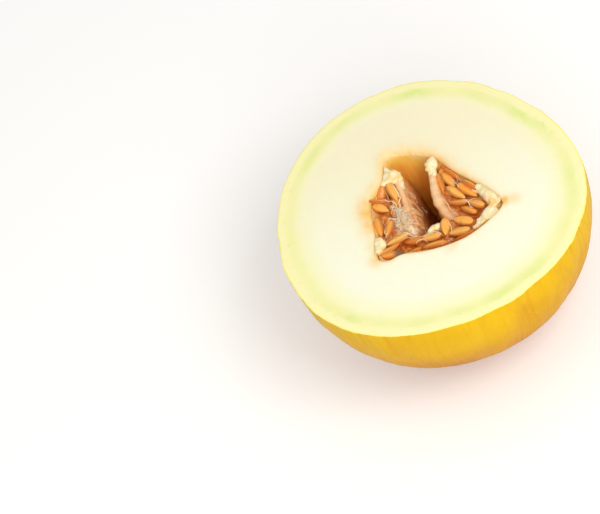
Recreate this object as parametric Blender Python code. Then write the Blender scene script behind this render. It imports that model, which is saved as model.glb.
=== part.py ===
"""Half of a canary melon, cut straight across at its widest girth.

It stands on a small flat spot at its blossom end with the cut face up and level.
The melon is one solid with the seed cavity open at the top. Three clusters of
pulp and seeds line that cavity and leave a narrow hollow between them.
Lengths are in metres and angles in degrees unless a name says otherwise.
+Z is up along the melon's core, and the origin is the middle of the flat spot.
"""

import math
import random
from dataclasses import dataclass

import bmesh
import bpy
from mathutils import Matrix, Vector

MM = 0.001

# The rind
RIM_RADIUS = 76 * MM
POLE_DEPTH = 85.6 * MM
REST_RADIUS = 9 * MM
RIM_LOBES = ((2, 2.5 * MM, -43), (3, 1.8 * MM, -17), (4, 0.4 * MM, 55), (5, 0.2 * MM, 3))
RIDGE_COUNTS = (11, 17, 23)
RIDGE_HEIGHT = 0.2 * MM
RIDGE_SLANT = 14
SIDES = 96
RIND_RINGS = 14

# The seed cavity, whose outline at the cut is a rounded triangle
CAVITY_DEPTH = 57 * MM
CAVITY_CENTRE = Vector((1 * MM, 0.5 * MM))
CAVITY_OUTLINE = (
    (39.5 * MM, -12.5 * MM),
    (30.5 * MM, 0.5 * MM),
    (17 * MM, 16.5 * MM),
    (8.5 * MM, 27.5 * MM),
    (-2.5 * MM, 34.5 * MM),
    (-14.5 * MM, 36 * MM),
    (-18.5 * MM, 23 * MM),
    (-27 * MM, 11.5 * MM),
    (-27.5 * MM, -7 * MM),
    (-28.5 * MM, -21.5 * MM),
    (-23.5 * MM, -25.5 * MM),
    (-15.5 * MM, -23.5 * MM),
    (-0.5 * MM, -26.5 * MM),
    (15.5 * MM, -25.5 * MM),
    (30 * MM, -20 * MM),
)
CAVITY_RINGS = 8
CAVITY_ROUNDING = 0.55
CURVE_STEPS = 12

# The hollow between the clusters narrows from its outline at the cut to its foot
HOLLOW_DEPTH = 42 * MM
HOLLOW_HEADROOM = 3 * MM
HOLLOW_OUTLINE = (
    (-15 * MM, 41 * MM),
    (-10.5 * MM, 24.5 * MM),
    (-9.5 * MM, 12 * MM),
    (-7 * MM, -3 * MM),
    (-9.5 * MM, -13 * MM),
    (1.5 * MM, -12.5 * MM),
    (7 * MM, -10 * MM),
    (4 * MM, 5 * MM),
    (3.2 * MM, 21 * MM),
    (3.5 * MM, 39 * MM),
)
HOLLOW_MIDDLE = Vector((-2.5 * MM, 13 * MM))
HOLLOW_FOOT = Vector((1 * MM, 8.5 * MM))
HOLLOW_FOOT_SCALE = Vector((0.35, 0.57))

# The clusters, which part from each other along three lines through one hub
HUB = Vector((1.5 * MM, -6.5 * MM))
BACK_LINE = 93
LEFT_LINE = 195
RIGHT_LINE = 345
LINE_REACH = 90 * MM
LINE_GAP = 0.5 * MM
WALL_INSET = 1.0 * MM
TOP_DROP = 0.3 * MM
PULP_DROP = 5 * MM
PULP_SIDES = 48
PULP_RINGS = 6

# One melon seed: its length runs along X, and each station gives a place along it and a size
SEED_LENGTH = 11.5 * MM
SEED_WIDTH = 5.2 * MM
SEED_THICKNESS = 2.6 * MM
SEED_SIDES = 6
SEED_STATIONS = ((-0.62, 0.82), (0.05, 1.0), (0.66, 0.62))
PLACE_JITTER = 0.5 * MM
TURN_JITTER = 7

MELON_COLOUR = (0.95, 0.77, 0.12, 1.0)
PULP_COLOUR = (0.93, 0.62, 0.28, 1.0)
SKIN_ANGLE = 40


@dataclass(frozen=True)
class SeedRow:
    """Seeds in a line across the cut plane, from start to end, with their places in millimetres.

    heading is the way that their tips point, dip how far the tips slope down, and roll
    how far a seed is turned about its length: 0 shows its flat side, 90 its edge.
    """

    start: tuple
    end: tuple
    count: int
    drop: float
    heading: float
    dip: float
    roll: float


@dataclass(frozen=True)
class Lump:
    """A swelling of the pulp, with its place and size in millimetres."""

    place: tuple
    drop: float
    radius: float


@dataclass(frozen=True)
class Cluster:
    """One mass of pulp between two of the lines through the hub, and what grows on it."""

    name: str
    first_line: float
    last_line: float
    rows: tuple
    lumps: tuple
    seed: int


CLUSTERS = (
    Cluster(
        name="left_seed_cluster",
        first_line=BACK_LINE,
        last_line=LEFT_LINE,
        rows=(
            SeedRow((-22, 15.5), (-14, 13), 2, 3.9, -95, 36, 6),
            SeedRow((-18, 21), (-15, 6), 2, 5.2, -90, 34, 24),
            SeedRow((-24, 10.5), (-21, 5), 2, 3.4, -22, 5, 34),
            SeedRow((-24.5, -4.5), (-14, -5.5), 3, 3.9, -98, 32, 8),
            SeedRow((-20, 1.5), (-13.5, 1.5), 2, 5.6, -50, 18, 40),
            SeedRow((-22, 8.5), (-21.5, -7.5), 3, 9.5, -80, 35, 60),
        ),
        lumps=(Lump((-13.5, 27), 3.6, 4.6), Lump((-11, -3), 8, 5)),
        seed=11,
    ),
    Cluster(
        name="right_seed_cluster",
        first_line=RIGHT_LINE - 360,
        last_line=BACK_LINE,
        rows=(
            SeedRow((10.5, 19.5), (16.5, 12), 2, 3.6, -52, 26, 40),
            SeedRow((9, 12), (15, 1), 3, 3.4, -74, 24, -10),
            SeedRow((21, 6.5), (24.5, -7.5), 3, 3.6, -52, 13, 12),
            SeedRow((13.5, -5), (18.5, -9.5), 2, 4.6, -26, 6, 24),
            SeedRow((13.5, 13.5), (26, -7), 3, 9.5, -60, 30, 55),
        ),
        lumps=(Lump((7.5, 25), 3.6, 4.6), Lump((30, -9), 3.4, 5.2)),
        seed=23,
    ),
    Cluster(
        name="front_seed_cluster",
        first_line=LEFT_LINE,
        last_line=RIGHT_LINE,
        rows=(
            SeedRow((-15.5, -15.5), (-22, -18), 2, 3.4, -168, 8, 58),
            SeedRow((-21, -21.5), (-9.5, -18.5), 3, 3.6, -166, 5, 46),
            SeedRow((-2, -20), (13.5, -21.5), 3, 3.4, -168, 5, 52),
            SeedRow((0.5, -23.5), (20, -22), 3, 5.2, 176, 4, 34),
            SeedRow((7, -16), (16, -16.5), 2, 3.2, -48, 22, 5),
            SeedRow((-16, -17.5), (16, -19), 4, 9.5, -172, 18, 60),
        ),
        lumps=(Lump((-24.5, -19.5), 4.4, 3.4), Lump((-1, -15), 4, 3.8)),
        seed=37,
    ),
)


def clear_scene():
    """Removes whatever the scene holds at the start."""
    for obj in list(bpy.data.objects):
        bpy.data.objects.remove(obj, do_unlink=True)


def material(name, colour, roughness):
    """A plain surface finish."""
    made = bpy.data.materials.new(name)
    made.use_nodes = True
    shader = made.node_tree.nodes["Principled BSDF"]
    shader.inputs["Base Color"].default_value = colour
    shader.inputs["Roughness"].default_value = roughness
    shader.inputs["Metallic"].default_value = 0.0
    return made


def object_from(name, points, faces, home=None):
    """A mesh object in a collection, or in the scene, with its faces turned outwards."""
    mesh = bpy.data.meshes.new(name)
    mesh.from_pydata([tuple(p) for p in points], [], faces)
    work = bmesh.new()
    work.from_mesh(mesh)
    bmesh.ops.recalc_face_normals(work, faces=work.faces)
    work.to_mesh(mesh)
    work.free()
    obj = bpy.data.objects.new(name, mesh)
    (home or bpy.context.scene.collection).objects.link(obj)
    return obj


def rest_height():
    """How far the flat spot lies above the whole melon's pole."""
    return POLE_DEPTH * (1 - math.sqrt(1 - (REST_RADIUS / RIM_RADIUS) ** 2))


def cut_height():
    """Height of the cut face above the surface that the melon rests on."""
    return POLE_DEPTH - rest_height()


def lobes(angle):
    """How far the melon's few broad lobes push its girth out, at an angle in radians."""
    return sum(size * math.cos(n * (angle - math.radians(peak))) for n, size, peak in RIM_LOBES)


def ridges(angle, swing):
    """Height of the lengthwise ridges, which wander a little on their way to the pole."""
    slant = math.radians(RIDGE_SLANT) * math.sin(2 * swing)
    waves = [math.cos(n * (angle + slant) + n * n) for n in RIDGE_COUNTS]
    patches = 0.6 + 0.4 * math.cos(3 * angle + 2 * swing)
    return RIDGE_HEIGHT * patches * sum(waves)


def rind_point(angle, swing):
    """A point of the rind. swing is 0 at the pole and a quarter turn at the cut."""
    spread = math.sin(swing)
    radius = RIM_RADIUS * spread + (lobes(angle) + ridges(angle, swing)) * spread**2
    height = POLE_DEPTH * (1 - math.cos(swing)) - rest_height()
    return Vector((radius * math.cos(angle), radius * math.sin(angle), height))


def smooth_loop(corners):
    """Points of a closed smooth curve through the corners."""
    found = []
    count = len(corners)
    for i in range(count):
        before, start, end, after = (Vector(corners[(i + k) % count]) for k in (-1, 0, 1, 2))
        for step in range(CURVE_STEPS):
            t = step / CURVE_STEPS
            found.append(
                start * (2 * t**3 - 3 * t**2 + 1)
                + end * (3 * t**2 - 2 * t**3)
                + (end - before) / 2 * (t**3 - 2 * t**2 + t)
                + (after - start) / 2 * (t**3 - t**2)
            )
    return found


def reach_at(loop, centre, angles):
    """How far the loop lies from the centre, at each angle in radians."""
    away = [p - centre for p in loop]
    spokes = sorted((math.atan2(a.y, a.x) % math.tau, a.length) for a in away)
    first = (spokes[0][0] + math.tau, spokes[0][1])
    last = (spokes[-1][0] - math.tau, spokes[-1][1])
    spokes = [last, *spokes, first]
    reaches = []
    for angle in angles:
        wanted = angle % math.tau
        (low, near), (high, far) = next(
            pair for pair in zip(spokes, spokes[1:]) if pair[0][0] <= wanted <= pair[1][0]
        )
        share = (wanted - low) / max(high - low, 1e-9)
        reaches.append(near + (far - near) * share)
    return reaches


def cavity_wall(sides, rings, inset=0.0, drop=0.0):
    """The cavity's wall as rings of points from the top down, and the point at its foot.

    inset takes the wall in, and drop lowers its top below the cut.
    """
    angles = [math.tau * i / sides for i in range(sides)]
    reaches = reach_at(smooth_loop(CAVITY_OUTLINE), CAVITY_CENTRE, angles)
    mean = sum(reaches) / sides
    depth = CAVITY_DEPTH - inset
    start = math.asin(drop / depth)
    made = []
    for ring in range(rings):
        swing = start + (math.pi / 2 - start) * ring / rings
        rounded = CAVITY_ROUNDING * math.sin(swing)
        height = cut_height() - depth * math.sin(swing)
        circle = []
        for angle, reach in zip(angles, reaches):
            out = math.cos(swing) * ((1 - rounded) * reach + rounded * mean) - inset
            x = CAVITY_CENTRE.x + out * math.cos(angle)
            y = CAVITY_CENTRE.y + out * math.sin(angle)
            circle.append(Vector((x, y, height)))
        made.append(circle)
    return made, Vector((*CAVITY_CENTRE, cut_height() - depth))


def band(first, second, count):
    """The faces between two rings of points, given by the number of each ring's first point."""
    return [(first + i, first + (i + 1) % count, second + (i + 1) % count, second + i) for i in range(count)]


def fan(first, tip, count):
    """The faces between a ring of points and one point."""
    return [(first + i, first + (i + 1) % count, tip) for i in range(count)]


def make_melon():
    """The half melon: rind, cut face and cavity in one closed skin."""
    angles = [math.tau * i / SIDES for i in range(SIDES)]
    low = math.asin(REST_RADIUS / RIM_RADIUS)
    rings = []
    for ring in range(RIND_RINGS + 1):
        swing = low + (math.pi / 2 - low) * ring / RIND_RINGS
        rings.append([rind_point(angle, swing) for angle in angles])
    wall, foot = cavity_wall(SIDES, CAVITY_RINGS)
    rings += wall
    points = [p for ring in rings for p in ring]
    faces = []
    for ring in range(len(rings) - 1):
        faces += band(ring * SIDES, (ring + 1) * SIDES, SIDES)
    faces += fan(0, len(points), SIDES)
    faces += fan((len(rings) - 1) * SIDES, len(points) + 1, SIDES)
    points += [Vector((0, 0, 0)), foot]
    melon = object_from("melon_half", points, faces)
    melon.data.materials.append(material("melon", MELON_COLOUR, 0.35))
    melon.data.shade_smooth()
    melon.data.set_sharp_from_angle(angle=math.radians(SKIN_ANGLE))
    return melon


def cavity_filling(name, drop):
    """A closed solid that fills the cavity up to a drop below the cut, clear of its wall."""
    rings, foot = cavity_wall(PULP_SIDES, PULP_RINGS, WALL_INSET, drop)
    points = [p for ring in rings for p in ring]
    faces = []
    for ring in range(PULP_RINGS - 1):
        faces += band(ring * PULP_SIDES, (ring + 1) * PULP_SIDES, PULP_SIDES)
    faces += fan(0, len(points), PULP_SIDES)
    faces += fan((PULP_RINGS - 1) * PULP_SIDES, len(points) + 1, PULP_SIDES)
    points += [Vector((*CAVITY_CENTRE, cut_height() - drop)), foot]
    return object_from(name, points, faces)


def prism(name, outlines):
    """A closed solid through outlines of equal count, each given with its height."""
    count = len(outlines[0][0])
    points = [Vector((*p, height)) for outline, height in outlines for p in outline]
    faces = []
    for level in range(len(outlines) - 1):
        faces += band(level * count, (level + 1) * count, count)
    faces.append(tuple(range(count)))
    faces.append(tuple(range(len(points) - count, len(points))))
    return object_from(name, points, faces)


def make_sector(cluster):
    """The tall wedge between a cluster's two lines, moved out so that neighbours keep a gap."""
    middle = math.radians((cluster.first_line + cluster.last_line) / 2)
    half = math.radians((cluster.last_line - cluster.first_line) / 2)
    shift = LINE_GAP / 2 / math.sin(half)
    hub = HUB + shift * Vector((math.cos(middle), math.sin(middle)))
    turns = [middle + half * share for share in (-1, -0.5, 0, 0.5, 1)]
    outline = [hub, *(hub + LINE_REACH * Vector((math.cos(t), math.sin(t))) for t in turns)]
    return prism("sector", ((outline, 0.0), (outline, 2 * cut_height())))


def make_hollow():
    """The space that the clusters leave free between them."""
    top = [Vector(p) for p in HOLLOW_OUTLINE]
    foot = [HOLLOW_FOOT + (p - HOLLOW_MIDDLE) * HOLLOW_FOOT_SCALE for p in top]
    lowest = cut_height() - HOLLOW_DEPTH
    levels = ((foot, lowest), (top, cut_height()), (top, cut_height() + HOLLOW_HEADROOM))
    return prism("hollow", levels)


def make_seed(home, place, heading, dip, roll):
    """One seed, fuller at its blunt end than at its tip."""
    points = []
    for along, size in SEED_STATIONS:
        for side in range(SEED_SIDES):
            turn = math.tau * side / SEED_SIDES
            across = SEED_WIDTH / 2 * size * math.cos(turn)
            up = SEED_THICKNESS / 2 * size * math.sin(turn)
            points.append(Vector((SEED_LENGTH / 2 * along, across, up)))
    faces = []
    for station in range(len(SEED_STATIONS) - 1):
        faces += band(station * SEED_SIDES, (station + 1) * SEED_SIDES, SEED_SIDES)
    faces += fan(0, len(points), SEED_SIDES)
    faces += fan((len(SEED_STATIONS) - 1) * SEED_SIDES, len(points) + 1, SEED_SIDES)
    points += [Vector((-SEED_LENGTH / 2, 0, 0)), Vector((SEED_LENGTH / 2, 0, 0))]
    seed = object_from("seed", points, faces, home)
    turn = Matrix.Rotation(heading, 4, "Z") @ Matrix.Rotation(dip, 4, "Y") @ Matrix.Rotation(roll, 4, "X")
    seed.data.transform(Matrix.Translation(place) @ turn)
    return seed


def make_lump(home, lump):
    """One swelling of the pulp."""
    work = bmesh.new()
    place = Vector((lump.place[0] * MM, lump.place[1] * MM, cut_height() - lump.drop * MM))
    spot = Matrix.Translation(place)
    bmesh.ops.create_icosphere(work, subdivisions=1, radius=lump.radius * MM, matrix=spot)
    mesh = bpy.data.meshes.new("lump")
    work.to_mesh(mesh)
    work.free()
    home.objects.link(bpy.data.objects.new("lump", mesh))


def make_growths(cluster):
    """A collection of the cluster's seeds and lumps, the seeds by their rows with some unevenness."""
    home = bpy.data.collections.new(cluster.name)
    bpy.context.scene.collection.children.link(home)
    chance = random.Random(cluster.seed)
    for row in cluster.rows:
        for i in range(row.count):
            share = i / (row.count - 1)
            x, y = Vector(row.start).lerp(Vector(row.end), share) * MM
            slide = [chance.uniform(-PLACE_JITTER, PLACE_JITTER) for _ in range(3)]
            place = Vector((x, y, cut_height() - row.drop * MM)) + Vector(slide)
            turns = [row.heading, row.dip, row.roll]
            turns = [math.radians(a + chance.uniform(-TURN_JITTER, TURN_JITTER)) for a in turns]
            make_seed(home, place, *turns)
    for lump in cluster.lumps:
        make_lump(home, lump)
    return home


def apply_modifiers(obj):
    """Makes what the object's modifiers give its own mesh."""
    state = bpy.context.evaluated_depsgraph_get()
    mesh = bpy.data.meshes.new_from_object(obj.evaluated_get(state))
    obj.modifiers.clear()
    obj.data = mesh


def combine(obj, operation, tool, solver="EXACT"):
    """Joins, cuts or crosses an object with another one, which is then removed."""
    modifier = obj.modifiers.new(operation.lower(), "BOOLEAN")
    modifier.solver = solver
    modifier.operation = operation
    modifier.object = tool
    apply_modifiers(obj)
    bpy.data.objects.remove(tool, do_unlink=True)


def join_growths(obj, home):
    """Joins a whole collection to an object and removes the collection."""
    modifier = obj.modifiers.new("growths", "BOOLEAN")
    modifier.operation = "UNION"
    modifier.operand_type = "COLLECTION"
    modifier.collection = home
    apply_modifiers(obj)
    for growth in list(home.objects):
        bpy.data.objects.remove(growth, do_unlink=True)
    bpy.data.collections.remove(home)


def keep_main_body(obj):
    """Drops scraps that hang on nothing."""
    work = bmesh.new()
    work.from_mesh(obj.data)
    waiting = set(work.faces)
    bodies = []
    while waiting:
        body = set()
        edge = [waiting.pop()]
        while edge:
            face = edge.pop()
            body.add(face)
            near = {other for side in face.edges for other in side.link_faces} & waiting
            waiting -= near
            edge += near
        bodies.append(body)
    main = max(bodies, key=len)
    scraps = [face for body in bodies if body is not main for face in body]
    bmesh.ops.delete(work, geom=scraps, context="FACES")
    work.to_mesh(obj.data)
    work.free()


def make_cluster(cluster):
    """One mass of pulp with its seeds, fitted into its share of the cavity."""
    pulp = cavity_filling(cluster.name, PULP_DROP)
    combine(pulp, "DIFFERENCE", make_hollow())
    join_growths(pulp, make_growths(cluster))
    combine(pulp, "INTERSECT", cavity_filling("room", TOP_DROP))
    combine(pulp, "INTERSECT", make_sector(cluster), "MANIFOLD")
    keep_main_body(pulp)
    pulp.data.materials.clear()
    pulp.data.materials.append(material(cluster.name, PULP_COLOUR, 0.5))
    return pulp


def main():
    """Builds the half melon and its seed clusters."""
    clear_scene()
    make_melon()
    for cluster in CLUSTERS:
        make_cluster(cluster)


main()
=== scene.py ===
"""Looks of the halved canary melon: rind, cut flesh, seed cavity, seeds, pulp and fibres.

Lengths are in metres and angles in radians, unless a name or a comment says otherwise.
+Z is up along the melon's core, and the cut face is level at its top.
"""

from __future__ import annotations

import logging
import math
import random
from dataclasses import dataclass, field
from enum import Enum
from typing import Iterable, Iterator, Sequence

import bmesh
import bpy
import numpy as np
from mathutils import Matrix, Vector, noise
from mathutils.bvhtree import BVHTree

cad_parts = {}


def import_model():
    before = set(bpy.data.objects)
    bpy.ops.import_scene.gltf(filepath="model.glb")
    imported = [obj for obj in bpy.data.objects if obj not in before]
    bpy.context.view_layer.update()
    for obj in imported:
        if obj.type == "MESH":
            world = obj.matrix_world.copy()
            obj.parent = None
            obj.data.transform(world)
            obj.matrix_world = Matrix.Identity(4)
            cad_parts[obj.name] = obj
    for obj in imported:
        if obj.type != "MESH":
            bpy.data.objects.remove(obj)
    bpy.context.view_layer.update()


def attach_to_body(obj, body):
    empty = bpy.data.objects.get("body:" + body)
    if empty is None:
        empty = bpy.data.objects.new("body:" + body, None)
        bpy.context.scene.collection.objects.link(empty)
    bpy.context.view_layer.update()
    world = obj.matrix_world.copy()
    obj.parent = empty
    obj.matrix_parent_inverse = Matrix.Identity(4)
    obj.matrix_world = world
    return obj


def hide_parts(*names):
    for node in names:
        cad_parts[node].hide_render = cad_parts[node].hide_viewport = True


MM = 0.001
CUT_HEIGHT = 85 * MM  # of the cut face over the floor, as the finishes take it
LEVEL = (1.0, 1.0, 0.0)  # keeps the level part of a vector
DOWN = Vector((0, 0, -1))
LEFT = Vector((-1, 0, 0))
BODY = "root"
Socket = bpy.types.NodeSocket
Faces = list[Sequence[int]]
Table = tuple[tuple[float, ...], ...]
log = logging.getLogger("melon")


class Zone(Enum):
    """The surfaces of the half melon, in the order of its material slots."""

    RIND = 0
    FLESH = 1
    CAVITY = 2


class Side(Enum):
    """The masses of pulp round the hollow, by the node that each one replaces."""

    LEFT = "left_seed_cluster"
    RIGHT = "right_seed_cluster"
    FRONT = "front_seed_cluster"


class Skin(Enum):
    """What covers a ridge of the pulp: a dry cream crust, fluff or the hollow's smooth lining."""

    CREAM = "crest"
    FLUFF = "fluff"
    LINING = "lining"


@dataclass(frozen=True)
class Tint:
    """A colour as it looks on a screen, in parts of 255."""

    red: float
    green: float
    blue: float

    def linear(self) -> tuple[float, float, float, float]:
        """Turns the colour into linear light.

        Returns:
            Red, green and blue from 0 to 1, and full cover.
        """
        parts = [c / 255 for c in (self.red, self.green, self.blue)]
        made = [p / 12.92 if p <= 0.04045 else ((p + 0.055) / 1.055) ** 2.4 for p in parts]
        return (made[0], made[1], made[2], 1.0)


def ease(low: float, high: float, value: float) -> float:
    """A smooth step.

    Args:
        low: Where the step starts.
        high: Where the step ends.
        value: Where it is read.

    Returns:
        0 before low, 1 after high, and a smooth rise between them.
    """
    share = min(1.0, max(0.0, (value - low) / (high - low)))
    return share * share * (3 - 2 * share)


class Graph:
    """The nodes of one material, with short calls for those that the finishes use."""

    def __init__(self, name: str) -> None:
        """Starts a material with a shader and its output.

        Args:
            name: The material's name.
        """
        self.material = bpy.data.materials.new(name)
        self.material.use_nodes = True
        self.tree = self.material.node_tree
        self.shader = self.tree.nodes["Principled BSDF"]

    def node(self, kind: str, *values: object, **settings: object) -> bpy.types.Node:
        """Adds a node.

        Args:
            kind: The node's type name, without the leading ShaderNode.
            *values: What its first inputs get, in their order.
            **settings: Values for the node's own properties.

        Returns:
            The new node.
        """
        made = self.tree.nodes.new("ShaderNode" + kind)
        for key, value in settings.items():
            setattr(made, key, value)
        for socket, value in zip(made.inputs, values):
            self.feed(socket, value)
        return made

    def feed(self, socket: Socket, value: object) -> None:
        """Gives a socket a link, a tint or a plain value.

        Args:
            socket: The input to feed.
            value: Another node's output, a tint, a number or a vector.
        """
        if isinstance(value, Socket):
            self.tree.links.new(value, socket)
        elif isinstance(value, Tint):
            socket.default_value = value.linear()
        else:
            socket.default_value = value

    def place(self) -> Socket:
        """The point's place on the object, in metres."""
        return self.node("TexCoord").outputs["Object"]

    def spot(self, name: str) -> Socket:
        """A value that the mesh stores at each point, by its name."""
        return self.node("Attribute", attribute_name=name).outputs["Fac"]

    def axis(self, vector: object, letter: str) -> Socket:
        """One coordinate of a vector, by its letter."""
        return self.node("SeparateXYZ", vector).outputs[letter]

    def length(self, vector: object) -> Socket:
        """The length of a vector."""
        return self.node("VectorMath", vector, operation="LENGTH").outputs["Value"]

    def stretch(self, vector: object, scale: tuple[float, float, float]) -> Socket:
        """Multiplies a vector by a scale for each axis."""
        return self.node("VectorMath", vector, scale, operation="MULTIPLY").outputs[0]

    def math(self, operation: str, first: object, second: object) -> Socket:
        """Works out a number from two numbers or links, by Blender's name for the sum."""
        return self.node("Math", first, second, operation=operation).outputs[0]

    def times(self, first: object, second: object) -> Socket:
        """The product of two numbers or links."""
        return self.math("MULTIPLY", first, second)

    def plus(self, first: object, second: object) -> Socket:
        """The sum of two numbers or links."""
        return self.math("ADD", first, second)

    def drop(self) -> Socket:
        """How far the point lies under the cut face."""
        return self.math("SUBTRACT", CUT_HEIGHT, self.axis(self.place(), "Z"))

    def span(
        self, value: object, low: float, high: float, start: float = 0.0, end: float = 1.0
    ) -> Socket:
        """Maps a stretch of values smoothly onto another.

        Args:
            value: The number or link to map.
            low: The value that gives start.
            high: The value that gives end.
            start: The result at low and below.
            end: The result at high and above.

        Returns:
            The result's output.
        """
        made = self.node("MapRange", value, low, high, start, end, interpolation_type="SMOOTHSTEP")
        return made.outputs[0]

    def mix(self, share: object, first: object, second: object) -> Socket:
        """Mixes two colours.

        Args:
            share: How much of the second colour shows, from 0 to 1.
            first: The first colour or link.
            second: The second colour or link.

        Returns:
            The mixed colour's output.
        """
        made = self.node("Mix", data_type="RGBA")
        for name, value in (("Factor", share), ("A", first), ("B", second)):
            self.feed(made.inputs[name], value)
        return made.outputs["Result"]

    def ramp(self, value: object, stops: Sequence[tuple[float, Tint]]) -> Socket:
        """Colours a number.

        Args:
            value: The number or link, from 0 to 1.
            stops: Places along the ramp, each with its colour.

        Returns:
            The colour's output.
        """
        made = self.node("ValToRGB", value)
        elements = made.color_ramp.elements
        while len(elements) < len(stops):
            elements.new(1.0)
        for element, (where, tint) in zip(elements, stops):
            element.position = where
            element.color = tint.linear()
        return made.outputs["Color"]

    def noise(self, vector: object, scale: float, detail: float, distortion: float = 0.0) -> Socket:
        """A soft random pattern from 0 to 1.

        Args:
            vector: The place or link that the pattern is read at.
            scale: How many features there are to a unit.
            detail: How many finer layers are added.
            distortion: How much the pattern is swirled.

        Returns:
            The pattern's output.
        """
        made = self.node("TexNoise")
        settings = {"Vector": vector, "Scale": scale, "Detail": detail, "Distortion": distortion}
        for name, value in settings.items():
            self.feed(made.inputs[name], value)
        return made.outputs["Fac"]

    def cells(self, vector: object, scale: float) -> Socket:
        """How far a place lies from the middle of its cell, in a pattern of random cells.

        Args:
            vector: The place or link that the pattern is read at.
            scale: How many cells there are to a unit.

        Returns:
            The distance's output.
        """
        made = self.node("TexVoronoi", feature="F1")
        self.feed(made.inputs["Vector"], vector)
        self.feed(made.inputs["Scale"], scale)
        return made.outputs["Distance"]

    def around(self, across: float, along: float) -> Socket:
        """Coordinates that follow the melon's meridians, for streaks that run lengthwise.

        Args:
            across: Units to a full turn's radius, so how fine the streaks are.
            along: Units to a metre of height and reach, so how short the streaks are.

        Returns:
            The coordinates' output.
        """
        place = self.place()
        turn = self.node("VectorMath", self.stretch(place, LEVEL), operation="NORMALIZE").outputs[0]
        run = self.math("SUBTRACT", self.axis(place, "Z"), self.length(place))
        lift = self.node("CombineXYZ", 0.0, 0.0, self.times(run, along)).outputs[0]
        spread = (across, across, across)
        return self.node("VectorMath", turn, spread, lift, operation="MULTIPLY_ADD").outputs[0]

    def bump(self, height: object, depth: float, strength: float) -> None:
        """Adds fine relief to the shader, on top of any that it has.

        Args:
            height: The relief's height, from 0 to 1.
            depth: The height that 1 stands for.
            strength: How much of it shows.
        """
        made = self.node("Bump")
        for name, value in (("Strength", strength), ("Distance", depth), ("Height", height)):
            self.feed(made.inputs[name], value)
        links = self.shader.inputs["Normal"].links
        if links:
            self.feed(made.inputs["Normal"], links[0].from_socket)
        self.feed(self.shader.inputs["Normal"], made.outputs["Normal"])

    def glow(self, weight: float, reach: tuple[float, float, float]) -> None:
        """Lets light spread inside the surface.

        Args:
            weight: How much of the colour comes from inside.
            reach: How far red, green and blue spread, in millimetres.
        """
        self.shader.inputs["Subsurface Weight"].default_value = weight
        self.shader.inputs["Subsurface Radius"].default_value = reach
        self.shader.inputs["Subsurface Scale"].default_value = MM

    def gloss(
        self, roughness: object, level: float, coat: float = 0.0, coat_roughness: float = 0.2
    ) -> None:
        """Sets how the surface shines.

        Args:
            roughness: The surface's roughness, a number or a link.
            level: How strong the surface's own reflection is.
            coat: How much wet or waxy film lies on it.
            coat_roughness: The film's roughness.
        """
        self.feed(self.shader.inputs["Roughness"], roughness)
        self.shader.inputs["Specular IOR Level"].default_value = level
        self.shader.inputs["Coat Weight"].default_value = coat
        self.shader.inputs["Coat Roughness"].default_value = coat_roughness

    def paint(self, colour: object) -> bpy.types.Material:
        """Gives the shader its colour, and returns the finished material."""
        self.feed(self.shader.inputs["Base Color"], colour)
        return self.material


@dataclass(frozen=True)
class RindFinish:
    """Waxy golden skin, amber near the floor partly as its own deeper colour and partly as painted shade,
    with soft furrows tinted darker as painted shade, and faint flecks.
    """

    lemon: Tint = Tint(224, 180, 5)
    yellow: Tint = Tint(217, 168, 2)
    golden: Tint = Tint(204, 146, 1)
    amber: Tint = Tint(176, 104, 0)
    furrow: Tint = Tint(196, 128, 1)
    fleck: Tint = Tint(250, 216, 80)
    scar: Tint = Tint(120, 84, 44)
    scar_edge: tuple[float, float] = (2.94 * MM, 4.2 * MM)
    scar_height: tuple[float, float] = (0.5 * MM, 2 * MM)
    patch_scale: float = 24.0
    streak_scale: tuple[float, float] = (34.0, 26.0)
    fleck_scale: float = 480.0
    sparse_scale: float = 120.0
    wax_scale: tuple[float, float] = (60.0, 60.0)
    wax_depth: float = 0.2 * MM
    pore_scale: float = 1500.0
    pore_depth: float = 0.05 * MM

    def make(self) -> bpy.types.Material:
        """Builds the rind's material.

        Returns:
            The material.
        """
        g = Graph("rind")
        place = g.place()
        height = g.axis(place, "Z")
        rise = g.math("DIVIDE", height, CUT_HEIGHT)
        patches = g.noise(place, self.patch_scale, 4.0, 0.6)
        # Partly painted shade: the colour runs from lemon at the cut to amber near the floor, standing in for
        # the lower rind's shade as well as its own deeper colour.
        tone = g.plus(g.times(rise, 0.75), g.times(patches, 0.45))
        stops = ((0.44, self.amber), (0.66, self.golden), (0.84, self.yellow), (1.0, self.lemon))
        colour = g.ramp(tone, stops)
        streaks = g.noise(g.around(*self.streak_scale), 1.0, 5.0, 0.4)
        colour = g.mix(g.span(streaks, 0.5, 0.78, 0.0, 0.22), colour, self.golden)
        # Painted shade: the furrows are tinted a darker orange, as if shaded.
        depth = g.times(g.spot("furrow"), g.span(streaks, 0.3, 0.65, 0.2, 1.0))
        colour = g.mix(g.times(depth, 0.4), colour, self.furrow)
        flecks = g.span(g.cells(place, self.fleck_scale), 0.1, 0.3, 0.3, 0.0)
        sparse = g.span(g.noise(place, self.sparse_scale, 2.0), 0.48, 0.64)
        colour = g.mix(g.times(flecks, sparse), colour, self.fleck)
        low = g.span(height, *self.scar_height, 1.0, 0.0)
        near = g.span(g.length(g.stretch(place, LEVEL)), *self.scar_edge, 1.0, 0.0)
        colour = g.mix(g.times(near, low), colour, self.scar)
        wax = g.noise(g.around(*self.wax_scale), 1.0, 4.0)
        g.gloss(g.span(wax, 0.3, 0.7, 0.4, 0.54), level=0.08)
        g.bump(wax, self.wax_depth, 0.4)
        g.bump(g.noise(place, self.pore_scale, 2.0), self.pore_depth, 0.4)
        g.glow(0.04, (2.0, 1.2, 0.3))
        return g.paint(colour)


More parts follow.
